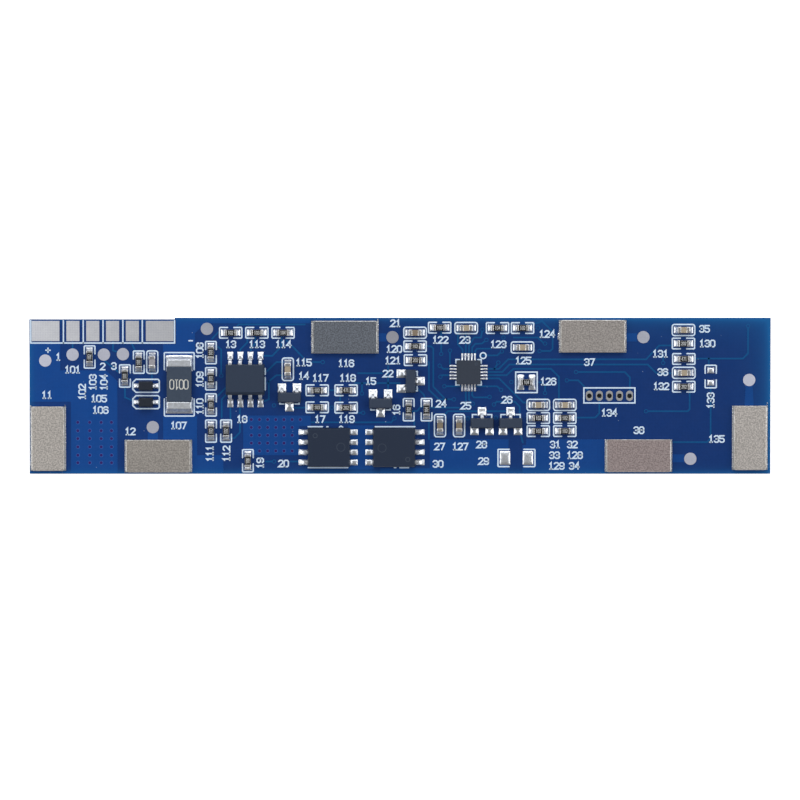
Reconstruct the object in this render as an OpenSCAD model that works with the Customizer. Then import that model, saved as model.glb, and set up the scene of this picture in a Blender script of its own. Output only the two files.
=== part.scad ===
// Battery management board for a row of cells: a narrow blue circuit board that carries edge
// contacts, six nickel cell tabs, two power switches, a current shunt, a controller, a five-hole
// header and the small parts around them, all soldered to its upper face.
// Origin: centre of the underside. +X runs along the board, +Y towards the edge with the contacts,
// +Z out of the component side.

/* [Board] */
// Length of the board
board_l = 93.5; // [92:0.5:98]
// Width of the board
board_w = 19.7; // [19:0.1:22]
// Thickness of the laminate
board_t = 1; // [0.8:0.1:1.6]
// Thickness of the copper lands
land_t = 0.05; // [0.03:0.01:0.1]
// How far the edge beside the contacts is set back
edge_step = 0.2; // [0.1:0.05:0.5]

/* [Edge contacts] */
// Distance from one narrow contact to the next
contact_pitch = 2.5; // [2.2:0.05:2.6]
// Width of a narrow contact
contact_w = 1.65; // [1.2:0.05:1.8]
// Width of the two end contacts
end_contact_w = 3.5; // [3:0.05:3.8]
// Gap between an end contact and the narrow one next to it
end_contact_gap = 0.875; // [0.6:0.025:0.9]
// Length of the contacts, square to the edge
contact_h = 2.55; // [2:0.05:3]
// Gap from the board's edge to the contacts
contact_inset = 0.2; // [0.1:0.05:0.5]

/* [Header] */
// Distance from one header hole to the next
header_pitch = 1.27; // [1.27:0.01:1.5]
// Radius of the plated hole
header_bore_r = 0.3; // [0.25:0.01:0.35]
// Thickness of the plating on the wall of the hole
header_wall = 0.05; // [0.03:0.01:0.08]
// Width of the oval ring around each hole
header_ring_w = 0.87; // [0.8:0.01:1.2]
// Length of the oval ring around each hole
header_ring_l = 1.29; // [1.27:0.01:2]

/* [Cell tabs] */
// Length of a nickel tab
tab_l = 8.1; // [7:0.1:8.5]
// Width of a nickel tab
tab_w = 4.1; // [3.5:0.1:4.3]
// Thickness of a nickel tab
tab_t = 0.5; // [0.2:0.05:1]
// Corner radius of a nickel tab
tab_r = 0.25; // [0.1:0.05:0.6]
// Height of the rolled edge that the punch leaves round the top
tab_edge = 0.06; // [0.02:0.01:0.1]

/* [Chip parts] */
// Length of a small chip resistor or capacitor
chip_l = 1.6; // [1.5:0.05:1.7]
// Width of a small chip
chip_w = 0.8; // [0.75:0.05:0.85]
// Height of a chip resistor
resistor_h = 0.45; // [0.35:0.05:0.55]
// Height of a chip capacitor
capacitor_h = 0.8; // [0.6:0.05:0.9]
// Length of the metal cap on each end of a chip resistor
resistor_cap = 0.31; // [0.25:0.01:0.45]
// Length of the metal cap on each end of a chip capacitor
capacitor_cap = 0.42; // [0.25:0.01:0.5]

/* [Shunt] */
// Length of the current shunt
shunt_l = 6.35; // [6.2:0.05:6.5]
// Width of the current shunt
shunt_w = 3.15; // [3:0.05:3.3]
// Height of the current shunt
shunt_h = 0.6; // [0.5:0.05:1]
// Length of the metal cap on each end of the shunt
shunt_cap = 1; // [0.6:0.05:1.2]

/* [Eight-lead package] */
// Length of the moulded body
soic_l = 4.9; // [4.8:0.05:5]
// Width of the moulded body between its two rows of leads
soic_w = 3.9; // [3.8:0.05:4]
// Height of the moulded body
soic_h = 1.45; // [1.25:0.05:1.6]
// Distance from toe to toe of its leads
soic_span = 6; // [5.8:0.05:6.2]

/* [Three-lead package] */
// Length of the moulded body
sot_l = 2.92; // [2.8:0.01:3]
// Width of the moulded body
sot_w = 1.3; // [1.2:0.05:1.4]
// Height of the moulded body
sot_h = 1; // [0.9:0.05:1.1]
// Distance from toe to toe of its leads
sot_span = 2.5; // [2.3:0.05:2.6]
// How far the regulator and the dual diode sit off their lands' middle, towards their two leads
sot_slide = 0.24; // [0:0.02:0.3]

/* [Power mosfets] */
// Length of the moulded body, between its pins and its drain fingers
mosfet_l = 5.35; // [5.1:0.05:5.5]
// Width of the moulded body
mosfet_w = 4.95; // [4.8:0.05:5.1]
// Height of the moulded body
mosfet_h = 1; // [0.85:0.05:1.1]
// How far the pins stand out of the body
mosfet_pin = 0.4; // [0.3:0.05:0.5]

/* [Controller] */
// Side of the square body
control_side = 3; // [2.9:0.05:3.1]
// Height of the body
control_h = 0.8; // [0.7:0.05:0.9]
// Distance from one contact to the next
control_pitch = 0.4; // [0.4:0.01:0.45]

/* [Hidden] */
$fn = 48;
land_top = board_t + land_t;
drill_r = header_bore_r + header_wall;
past = 0.5;                     // how far a cutter runs past the face that it cuts

// Places are [x, y] or [x, y, turn]; a turn of 0 lays the long side along X.
row_x = -37.5;                  // middle of the row of edge contacts
step_x = -28.4;                 // where the stepped edge beside the contacts ends
header_place = [26.42, 0];
header_count = 5;
test_places = [[-44.75, 4.45], [-41.3, 5.2], [-37.35, 5.2], [-34.95, 5.25], [-31.2, -3.95],
    [-24.35, 8.45], [-0.95, 7.4], [30.7, 7.4], [44.05, 2], [36.65, -7.95]];
test_r = 0.775;
tab_places = [[-44.4, -5.4, 90], [-30.5, -7.6, 0], [-6.95, 7.4, 0], [24.3, 7.5, 0],
    [30.1, -7.55, 0], [44.15, -5.3, 90]];
shunt_place = [-27.85, 1.45, 90];
thermistor_place = [15.95, 1.7, 0];
soic_place = [-19.5, 2.05, 0];
control_place = [8.65, 2.97, 0];
mosfet_places = [[-9.08, -6.5, 0], [-0.63, -6.5, 180]];
transistor_places = [[-13.95, -0.2, 0], [-2.45, -0.95, 0], [1.35, 1.85, 90]];
regulator_place = [10.35, -3.2, 180];
dual_diode_place = [13.95, -3.2, 180];
zener_places = [[-32.04, 1.26, 0], [-32.04, -0.8, 0]];
capacitor_places = [[-31.25, 4.25, 90], [-14.15, 3.35, 90], [1.9, 7.95, 0], [8.35, 8.55, 0],
    [15.45, 6.1, 0], [5.05, -3.75, 90], [7.45, -3.75, 90], [17.45, -1.15, 0], [20.8, -1.15, 0],
    [35.75, 8.3, 0], [35.8, 2.9, 0]];
resistor_places = [[-39.15, 4.9, 90], [-34.7, 2.5, 90], [-32.95, 4.25, 90], [-21.95, -4.45, 90],
    [-21.35, 7.95, 0], [-18.05, 7.95, 0], [-14.75, 7.95, 0], [-19.2, -8.2, 90],
    [-10.45, 0.7, 0], [-6.8, 0.7, 0], [-10.45, -1.45, 0], [-6.8, -1.5, 0],
    [1.9, 6.25, 0], [1.95, 4.5, 0], [5, 8.6, 0], [12.3, 8.55, 0], [15.45, 8.55, 0],
    [1.1, -1.75, 90], [3.35, -1.75, 90], [35.75, 6.6, 0], [35.8, 4.65, 0], [35.8, 1.15, 0]];
gate_resistor_places = [for (i = [0:3]) [-23.85, 5.45 - 3.3 * i, 90]];
sense_resistor_places = [for (y = [-2.8, -4.45], x = [17.45, 20.8]) [x, y, 0]];
fuse_place = [14.7, -7.85, 0];
spare_place = [39.2, 2.43, 90];

// Lands and solder of each package, in its own frame.
chip_land = [0.7, 0.86];        // length and width of the land under each end of a chip
chip_land_x = 0.85;             // from the chip's middle to the middle of a land
chip_fillet = 0.36;             // how far the solder runs out past the end of a chip
shunt_land = [2.05, 3.35];
shunt_land_x = 2.65;
shunt_fillet = 0.45;
thermistor_land = [0.8, 1.93];
thermistor_land_x = 0.715;
tab_land_margin = 0.2;          // how far the land shows past a tab on its left and right
soic_pitch = 1.27;
soic_land = [0.74, 1];
soic_land_y = 3;
soic_lead_w = 0.46;
soic_lead_t = 0.2;
sot_pitch = 1.9;
sot_land = [1.04, 1.12];
sot_land_y = 1.2;
sot_lead_w = 0.42;
sot_lead_t = 0.12;
sot_solder_h = 0.1;
sod_body = [1.8, 1.2, 0.95];
sod_span = 2.5;
sod_lead_w = 0.34;
sod_land = [0.75, 0.62];
sod_land_x = 1.2;
mosfet_pitch = 1.27;
mosfet_pin_w = 0.41;
mosfet_pin_t = 0.25;
mosfet_finger = 0.15;           // how far the drain fingers stand out of the body
mosfet_land = [1.15, 0.72];
mosfet_land_x = 3.12;           // middle of the lands under the pins
drain_land_x = [1.4, 3.75];     // the drain's lands run from under the body to here
control_contacts = 5;           // on each side
control_land = [0.24, 1.3];
control_land_y = 1.75;
contact_proud = 0.02;           // how far the controller's contacts stand out of its walls
fuse_land = [1.3, 1.75];
fuse_land_x = 1.45;
spare_land = [0.76, 0.88];
spare_land_x = 0.78;
solder_h = 0.16;                // height of the solder on a land with nothing on it
draft = 0.1;                    // how much a moulded wall leans in from its parting line

TAB_NODES = [for (i = [1:len(tab_places)]) str("cell_tab_", i)];
TRANSISTOR_NODES = [for (i = [1:len(transistor_places)]) str("transistor_", i)];
MOSFET_NODES = ["discharge_mosfet", "charge_mosfet"];
ZENER_NODES = [for (i = [1:len(zener_places)]) str("zener_diode_", i)];
CAPACITOR_NODES = [for (i = [1:len(capacitor_places)]) str("capacitor_", i)];
RESISTOR_NODES = [for (i = [1:len(resistor_places)]) str("resistor_", i)];

// ---- small shapes that several pieces share ----

// Puts a part on the board at its place, standing on the lands unless z says otherwise.
module at(place, z = land_top) {
    turn = len(place) > 2 ? place[2] : 0;
    translate([place[0], place[1], z]) rotate([0, 0, turn]) children();
}

// A flat plate of the land's thickness on the laminate; size is [length, width].
module land(size) {
    translate([-size[0] / 2, -size[1] / 2, 0]) cube([size[0], size[1], land_t]);
}

// Rectangle with round corners, about the origin.
module round_rect(l, w, r) {
    square([l - 2 * r, w], center = true);
    square([l, w - 2 * r], center = true);
    for (x = [-1, 1], y = [-1, 1]) translate([x * (l / 2 - r), y * (w / 2 - r)]) circle(r);
}

// A quarter of a ring, from +X round to +Y.
module quarter_ring(r_in, r_out) {
    intersection() {
        difference() {
            circle(r_out);
            circle(r_in);
        }
        square(r_out + past);
    }
}

// Turns an outline drawn in X and Z into a prism of the given depth along Y.
module along_y(depth) {
    rotate([90, 0, 0]) linear_extrude(depth, center = true) children();
}

// Turns an outline drawn in Y and Z into a prism of the given depth along X.
module along_x(depth) {
    rotate([90, 0, 90]) linear_extrude(depth, center = true) children();
}

// Section of a moulded body: both walls lean in above and below the parting line at mid height,
// and bevel cuts the upper corner on the minus side.
module moulded_section(width, h, bevel = 0) {
    top = width / 2 - draft;
    lean = 2 * draft / h;
    cut = bevel > 0 ? [[bevel - top, h], [-top - lean * bevel, h - bevel]] : [[-top, h]];
    polygon(concat([[-top, 0], [top, 0], [width / 2, h / 2], [top, h]], cut,
        [[-width / 2, h / 2]]));
}

// Moulded body of a package: where its two drafted sections cross.
module moulded_body(l, w, h, bevel = 0) {
    intersection() {
        along_y(w + past) moulded_section(l, h);
        along_x(l + past) moulded_section(w, h, bevel);
    }
}

// Side view of a bent lead that leaves a body at y = 0 and height h and stands on z = 0 with its
// toe at y = reach. Both bends are arcs about the inner radius r.
module bent_lead(reach, h, shoulder, t, r) {
    outer = r + t;
    leg_y = shoulder + r;
    foot_y = leg_y + outer;
    translate([-past, h - t]) square([shoulder + past, t]);
    translate([shoulder, h - outer]) quarter_ring(r, outer);
    translate([leg_y, outer]) square([t, h - 2 * outer]);
    translate([foot_y, outer]) rotate(180) quarter_ring(r, outer);
    translate([foot_y, 0]) square([reach - foot_y, t]);
}

// Concave solder fillet against a wall at x = 0: an arc that leaves the wall at height rise and
// meets the land at x = run, tangent to the longer of the two.
module fillet(run, rise, width) {
    r = (run * run + rise * rise) / (2 * min(run, rise));
    centre = run >= rise ? [run, r] : [r, rise];
    along_y(width) difference() {
        square([run, rise]);
        translate(centre) circle(r, $fn = 96);
    }
}

// A pillow of solder on a bare land: two low arcs crossed, as high in the middle as h.
module pillow(size, h) {
    intersection() {
        along_y(size[1]) low_arc(size[0], h);
        along_x(size[0]) low_arc(size[1], h);
    }
}

// The part of a large circle that stands above z = 0, with the given chord and height.
module low_arc(chord, h) {
    r = (chord * chord / 4 + h * h) / (2 * h);
    intersection() {
        translate([0, h - r]) circle(r, $fn = 96);
        translate([-chord / 2, 0]) square([chord, h]);
    }
}

// ---- the printed circuit board and its copper ----

// Stepped outline of the board.
module board_outline() {
    x = board_l / 2;
    y = board_w / 2;
    polygon([[-x, -y], [x, -y], [x, y], [step_x, y], [step_x, y - edge_step], [-x, y - edge_step]]);
}

// The header holes' places.
module header_holes() {
    for (i = [0:header_count - 1])
        translate([header_place[0] + (i - (header_count - 1) / 2) * header_pitch,
                   header_place[1], 0]) children();
}

// Oval ring of a header hole, without its hole.
module header_oval() {
    round_rect(header_ring_w, header_ring_l, header_ring_w / 2 - 0.01);
}

module board() {
    color("#16407f") difference() {
        linear_extrude(board_t) board_outline();
        header_holes() {
            translate([0, 0, -past]) cylinder(h = board_t + 2 * past, r = drill_r);
            translate([0, 0, -past]) linear_extrude(past + land_t) header_oval();
        }
    }
}

module edge_contacts() {
    top = board_w / 2 - edge_step - contact_inset;
    middle = top - contact_h / 2;
    end_x = 1.5 * contact_pitch + contact_w / 2 + end_contact_gap + end_contact_w / 2;
    color("#bfc1c8") {
        for (i = [-1.5:1:1.5])
            at([row_x + i * contact_pitch, middle], board_t) land([contact_w, contact_h]);
        for (side = [-1, 1])
            at([row_x + side * end_x, middle], board_t) land([end_contact_w, contact_h]);
    }
}

module test_lands() {
    color("#b4bac6")
        for (place = test_places) at(place, board_t) cylinder(h = land_t, r = test_r);
}

// Plated header holes: a barrel through the board with an oval ring on each face, the lower one
// let into the board so that the underside is flat.
module barrel_plating() {
    color("#a8a49c") header_holes() difference() {
        union() {
            cylinder(h = land_top, r = drill_r);
            linear_extrude(land_t) header_oval();
            translate([0, 0, board_t]) linear_extrude(land_t) header_oval();
        }
        translate([0, 0, -past]) cylinder(h = land_top + 2 * past, r = header_bore_r);
    }
}

// Both lands of a two-ended part.
module pair_of_lands(size, x) {
    for (side = [-1, 1]) translate([side * x, 0, 0]) land(size);
}

// Repeats its children at the two leads on the +Y side of a small transistor.
module two_leads() {
    for (x = [-1, 1]) translate([x * sot_pitch / 2, 0, 0]) children();
}

// Repeats its children at all three leads: two on +Y, one on -Y. The children point outwards
// along +Y.
module three_leads() {
    two_leads() children();
    rotate([0, 0, 180]) children();
}

// Repeats its children at the eight leads of the sense amplifier, pointing outwards along +Y.
module eight_leads() {
    for (turn = [0, 180], i = [-1.5:1:1.5])
        rotate([0, 0, turn]) translate([i * soic_pitch, 0, 0]) children();
}

// Repeats its children at the rows of a power switch.
module mosfet_rows() {
    for (i = [-1.5:1:1.5]) translate([0, i * mosfet_pitch, 0]) children();
}

// Repeats its children at the controller's contacts, pointing outwards along +Y.
module control_rows() {
    first = -(control_contacts - 1) / 2;
    for (turn = [0:90:270], i = [first:1:-first])
        rotate([0, 0, turn]) translate([i * control_pitch, 0, 0]) children();
}

module component_lands() {
    color("#c4c4c8") {
        for (place = concat(resistor_places, gate_resistor_places, sense_resistor_places,
                            capacitor_places))
            at(place, board_t) pair_of_lands(chip_land, chip_land_x);
        at(thermistor_place, board_t) pair_of_lands(thermistor_land, thermistor_land_x);
        at(shunt_place, board_t) pair_of_lands(shunt_land, shunt_land_x);
        at(fuse_place, board_t) pair_of_lands(fuse_land, fuse_land_x);
        at(spare_place, board_t) pair_of_lands(spare_land, spare_land_x);
        for (place = zener_places) at(place, board_t) pair_of_lands(sod_land, sod_land_x);
        for (place = concat(transistor_places, [regulator_place, dual_diode_place]))
            at(place, board_t) three_leads() translate([0, sot_land_y, 0]) land(sot_land);
        at(soic_place, board_t) eight_leads() translate([0, soic_land_y, 0]) land(soic_land);
        at(control_place, board_t) control_rows()
            translate([0, control_land_y, 0]) land(control_land);
        for (place = mosfet_places) at(place, board_t) mosfet_lands();
        for (place = tab_places) at(place, board_t) tab_land(place[2]);
    }
}

// Four pin lands and the drain's land with its four fingers.
module mosfet_lands() {
    finger = drain_land_x[1] - drain_land_x[0];
    mosfet_rows() {
        translate([-mosfet_land_x, 0, 0]) land(mosfet_land);
        translate([(drain_land_x[0] + drain_land_x[1]) / 2, 0, 0]) land([finger, mosfet_land[1]]);
    }
}

// A tab's land shows past it along the board's length, whichever way the tab is turned.
module tab_land(turn) {
    more = 2 * tab_land_margin;
    across = turn == 0 ? [tab_l + more, tab_w] : [tab_l, tab_w + more];
    land(across);
}

// ---- the parts ----

// Punched nickel tab with a rolled upper edge.
module tab_plate() {
    intersection() {
        linear_extrude(tab_t) round_rect(tab_l, tab_w, tab_r);
        along_y(tab_w + past) tab_section(tab_l);
        along_x(tab_l + past) tab_section(tab_w);
    }
}

// Section of a tab with both upper corners broken.
module tab_section(width) {
    x = width / 2;
    polygon([[-x, 0], [x, 0], [x, tab_t - tab_edge], [x - tab_edge, tab_t],
        [tab_edge - x, tab_t], [-x, tab_t - tab_edge]]);
}

module cell_tab(place) {
    color("#a5a19d") at(place) tab_plate();
}

// Chip resistor: a ceramic slab with a dark coat between two metal caps that wrap its ends.
module chip_resistor(l = chip_l, w = chip_w, h = resistor_h, cap = resistor_cap) {
    skin = 0.025;
    color("#d8d8d4") translate([skin - l / 2, -w / 2 + skin, skin])
        cube([l - 2 * skin, w - 2 * skin, h - 3 * skin]);
    color("#2a2a2e") translate([cap - l / 2, -w / 2 + skin, h - 2 * skin])
        cube([l - 2 * cap, w - 2 * skin, skin]);
    color("#c8c8cc") for (side = [0, 180]) rotate([0, 0, side]) chip_cap(l, w, h, cap);
}

// Metal cap on the +X end of a chip, with round corners all along it.
module chip_cap(l, w, h, cap) {
    r = 0.06;
    translate([l / 2 - cap, 0, h / 2]) rotate([90, 0, 90]) linear_extrude(cap)
        round_rect(w, h, r);
}

// Chip capacitor: a ceramic block a little smaller than its two metal caps.
module chip_capacitor() {
    skin = 0.02;
    color("#aa9e88") translate([0, 0, skin]) linear_extrude(capacitor_h - 2 * skin)
        square([chip_l - 2 * skin, chip_w - 2 * skin], center = true);
    color("#c8c8cc") for (side = [0, 180]) rotate([0, 0, side])
        chip_cap(chip_l, chip_w, capacitor_h, capacitor_cap);
}

module resistor(place) {
    at(place) chip_resistor();
}

module capacitor(place) {
    at(place) chip_capacitor();
}

module gate_resistors() {
    for (place = gate_resistor_places) resistor(place);
}

module sense_resistors() {
    for (place = sense_resistor_places) resistor(place);
}

module thermistor() {
    at(thermistor_place) chip_resistor();
}

module shunt() {
    at(shunt_place) chip_resistor(shunt_l, shunt_w, shunt_h, shunt_cap);
}

// Three-lead package, with its body clear of the lands by the lead's stand-off, slid towards its
// two leads.
module three_lead_part(place, slide = 0) {
    lift = 0.06;
    lead_z = lift + sot_h / 2 + sot_lead_t / 2;
    at(place) translate([0, slide, 0]) {
        color("#2f3c4c") translate([0, 0, lift]) moulded_body(sot_l, sot_w, sot_h);
        color("#c8c8cc") three_leads() translate([0, sot_w / 2, 0]) along_x(sot_lead_w)
            bent_lead((sot_span - sot_w) / 2, lead_z, 0.1, sot_lead_t, 0.06);
    }
}

module transistor(place) {
    three_lead_part(place);
}

module regulator() {
    three_lead_part(regulator_place, sot_slide);
}

module dual_diode() {
    three_lead_part(dual_diode_place, sot_slide);
}

// Two-lead diode: the leads bend down close to the body's ends.
module zener_diode(place) {
    lift = 0.04;
    lead_t = 0.12;
    lead_z = lift + sod_body[2] / 2 + lead_t / 2;
    reach = (sod_span - sod_body[0]) / 2;
    at(place) {
        color("#2d3543") translate([0, 0, lift])
            moulded_body(sod_body[0], sod_body[1], sod_body[2]);
        color("#c8c8cc") for (side = [-90, 90]) rotate([0, 0, side])
            translate([0, sod_body[0] / 2, 0]) along_x(sod_lead_w)
                bent_lead(reach, lead_z, 0.05, lead_t, 0.04);
    }
}

// Eight-lead sense amplifier: bevelled along the side of pins one to four, with a round
// moulded mark by pin one.
module sense_ic() {
    lift = 0.12;
    lead_z = lift + soic_h / 2 + soic_lead_t / 2;
    mark = [-1.75, -0.95];
    mark_r = 0.3;
    at(soic_place) {
        color("#333e50") translate([0, 0, lift]) difference() {
            moulded_body(soic_l, soic_w, soic_h, 0.25);
            translate([mark[0], mark[1], soic_h - 0.05]) cylinder(h = past, r = mark_r);
        }
        color("#c8c8cc") eight_leads() translate([0, soic_w / 2, 0]) along_x(soic_lead_w)
            bent_lead((soic_span - soic_w) / 2, lead_z, 0.2, soic_lead_t, 0.1);
    }
}

// Flat power switch: four pins on the -X side, the drain's four fingers on the +X side, and a
// heat slug let into the underside.
module mosfet(place) {
    mark = [-1.65, 1.55];
    ejector = [1.5, 0.1];
    slug = [4.1, 3.9];
    at(place) {
        color("#28323f") difference() {
            moulded_body(mosfet_l, mosfet_w, mosfet_h);
            translate([mark[0], mark[1], mosfet_h - 0.03]) cylinder(h = past, r = 0.28);
            translate([ejector[0], ejector[1], mosfet_h - 0.02]) cylinder(h = past, r = 0.5);
            translate([1 - slug[0] / 2, -slug[1] / 2, -past])
                cube([slug[0], slug[1], past + mosfet_pin_t]);
            mosfet_rows() translate([-mosfet_l / 2 - past, -mosfet_pin_w / 2, -past])
                cube([past + 0.6, mosfet_pin_w, past + mosfet_pin_t]);
        }
        color("#c8c8cc") {
            mosfet_rows() {
                translate([-mosfet_l / 2 - mosfet_pin, -mosfet_pin_w / 2, 0])
                    cube([mosfet_pin + 0.6, mosfet_pin_w, mosfet_pin_t]);
                translate([1 + slug[0] / 2 - past, -mosfet_pin_w / 2, 0])
                    cube([mosfet_l / 2 + mosfet_finger - 1 - slug[0] / 2 + past, mosfet_pin_w,
                          mosfet_pin_t]);
            }
            translate([1 - slug[0] / 2, -slug[1] / 2, 0])
                cube([slug[0], slug[1], mosfet_pin_t]);
        }
    }
}

// Square leadless controller: sawn walls, five contacts flush with each wall, a mark at pin one.
module controller() {
    lead_t = 0.2;
    contact = [0.22, 0.4];
    pin_one = [0.95, 1.05];
    at(control_place) {
        color("#373f4d") difference() {
            translate([-control_side / 2, -control_side / 2, 0])
                cube([control_side, control_side, control_h]);
            translate([pin_one[0], pin_one[1], control_h - 0.03]) cylinder(h = past, r = 0.2);
        }
        color("#c8c8cc") control_rows()
            translate([-contact[0] / 2, control_side / 2 - contact[1], 0])
                cube([contact[0], contact[1] + contact_proud, lead_t]);
    }
}

// ---- the solder ----

// Fillets at both ends of a two-ended part of length l.
module end_fillets(l, run, rise, width) {
    for (side = [0, 180]) rotate([0, 0, side]) translate([l / 2, 0, 0]) fillet(run, rise, width);
}

// Solder round the foot of a lead that points along +Y: a pillow on the land with a channel for
// the foot.
module foot_solder(size, y, lead_w, toe_y, h) {
    difference() {
        translate([0, y, 0]) pillow(size, h);
        translate([-lead_w / 2, y - size[1], -past])
            cube([lead_w, toe_y - y + size[1], h + 2 * past]);
    }
}

// Solder of a three-lead package. A body that is slid covers the inner part of two of its lands,
// and no solder stands there.
module three_lead_solder(slide) {
    two_leads() foot_solder([sot_land[0], sot_land[1] - slide], sot_land_y + slide / 2,
                            sot_lead_w, sot_span / 2 + slide, sot_solder_h);
    rotate([0, 0, 180])
        foot_solder(sot_land, sot_land_y, sot_lead_w, sot_span / 2 - slide, sot_solder_h);
}

module solder_joints() {
    color("#d2d2d6") {
        for (place = concat(resistor_places, gate_resistor_places, sense_resistor_places))
            at(place) end_fillets(chip_l, chip_fillet, 0.7 * resistor_h, chip_w);
        for (place = capacitor_places)
            at(place) end_fillets(chip_l, chip_fillet, 0.6 * capacitor_h, chip_w);
        at(shunt_place) end_fillets(shunt_l, shunt_fillet, 0.75 * shunt_h, shunt_w);
        for (place = zener_places) at(place) for (side = [-90, 90])
            rotate([0, 0, side]) foot_solder([sod_land[1], sod_land[0]], sod_land_x, sod_lead_w,
                                             sod_span / 2, 0.1);
        for (place = transistor_places) at(place) three_lead_solder(0);
        for (place = [regulator_place, dual_diode_place]) at(place) three_lead_solder(sot_slide);
        at(soic_place) eight_leads()
            foot_solder(soic_land, soic_land_y, soic_lead_w, soic_span / 2, 0.14);
        for (place = mosfet_places) at(place) mosfet_rows() rotate([0, 0, 180])
            translate([mosfet_l / 2 + mosfet_pin, 0, 0])
                fillet(mosfet_land_x + mosfet_land[0] / 2 - mosfet_l / 2 - mosfet_pin,
                       0.8 * mosfet_pin_t, mosfet_pin_w);
        at(control_place) control_rows() translate([0, control_side / 2 + contact_proud, 0])
            rotate([0, 0, 90]) fillet(0.7, 0.15, control_land[0] - 0.04);
        at(fuse_place) for (side = [-1, 1]) translate([side * fuse_land_x, 0, 0])
            pillow(fuse_land, 0.6 * solder_h);
        at(spare_place) for (side = [-1, 1]) translate([side * spare_land_x, 0, 0])
            pillow(spare_land, solder_h);
        for (place = tab_places) at([place[0], place[1], 0]) for (side = [0, 180])
            rotate([0, 0, side])
                translate([(place[2] == 0 ? tab_l : tab_w) / 2, 0, 0])
                    fillet(tab_land_margin, 0.6 * tab_t,
                           (place[2] == 0 ? tab_w : tab_l) - 2 * tab_r);
    }
}

board();
edge_contacts();
test_lands();
component_lands();
barrel_plating();
solder_joints();
shunt();
thermistor();
sense_ic();
controller();
regulator();
dual_diode();
gate_resistors();
sense_resistors();
for (i = [0:len(tab_places) - 1])
    cell_tab(tab_places[i]);
for (i = [0:len(transistor_places) - 1])
    transistor(transistor_places[i]);
for (i = [0:len(mosfet_places) - 1])
    mosfet(mosfet_places[i]);
for (i = [0:len(zener_places) - 1])
    zener_diode(zener_places[i]);
for (i = [0:len(capacitor_places) - 1])
    capacitor(capacitor_places[i]);
for (i = [0:len(resistor_places) - 1])
    resistor(resistor_places[i]);
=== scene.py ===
import math

import bpy
import numpy as np
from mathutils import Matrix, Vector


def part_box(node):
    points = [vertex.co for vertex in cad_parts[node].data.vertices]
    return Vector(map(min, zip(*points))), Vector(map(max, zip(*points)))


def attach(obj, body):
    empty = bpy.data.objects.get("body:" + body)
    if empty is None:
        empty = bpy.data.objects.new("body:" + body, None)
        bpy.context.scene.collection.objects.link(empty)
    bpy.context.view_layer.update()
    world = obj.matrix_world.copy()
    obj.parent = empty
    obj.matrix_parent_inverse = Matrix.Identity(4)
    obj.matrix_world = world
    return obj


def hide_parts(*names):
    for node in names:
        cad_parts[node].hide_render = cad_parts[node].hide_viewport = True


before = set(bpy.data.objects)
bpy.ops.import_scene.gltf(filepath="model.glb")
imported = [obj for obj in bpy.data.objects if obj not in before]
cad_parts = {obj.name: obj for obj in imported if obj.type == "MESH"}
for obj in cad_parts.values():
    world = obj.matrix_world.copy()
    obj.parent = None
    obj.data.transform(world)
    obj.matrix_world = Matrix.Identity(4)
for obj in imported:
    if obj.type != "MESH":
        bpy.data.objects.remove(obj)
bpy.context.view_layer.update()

# ---- The bare board ----
# Woven glass laminate, 1 mm thick, under satin blue solder mask. It is sawn out of a panel, so its
# side walls show the tan laminate; the glow of light that comes in there at the mask's rim is
# painted into the mask's colour.

MM = 0.001
_, BOARD_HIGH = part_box("board")
FACE = BOARD_HIGH.z / MM                # height of the component side
MASK_ON_LAMINATE = (0.0056, 0.036, 0.17)
# The colour of the painted glow of light at the mask's rim.
MASK_PAINTED_GLOW = (0.008, 0.115, 0.34)
LAMINATE = (0.36, 0.33, 0.17)
LAMINATE_DARK = (0.2, 0.19, 0.1)
DUST = (0.5, 0.6, 0.75)


class Signal:
    """A value that changes over a surface: a node's output. Arithmetic on it adds Math nodes."""

    def __init__(self, finish, socket):
        self.finish = finish
        self.socket = socket

    def math(self, operation, *others):
        return self.finish.node("ShaderNodeMath", {"operation": operation}, [self, *others])

    def __add__(self, other):
        return self.math("ADD", other)

    def __sub__(self, other):
        return self.math("SUBTRACT", other)

    def __rsub__(self, other):
        return self.finish.node("ShaderNodeMath", {"operation": "SUBTRACT"}, [other, self])

    def __mul__(self, other):
        return self.math("MULTIPLY", other)

    def __abs__(self):
        return self.math("ABSOLUTE")

    __radd__ = __add__
    __rmul__ = __mul__


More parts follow.
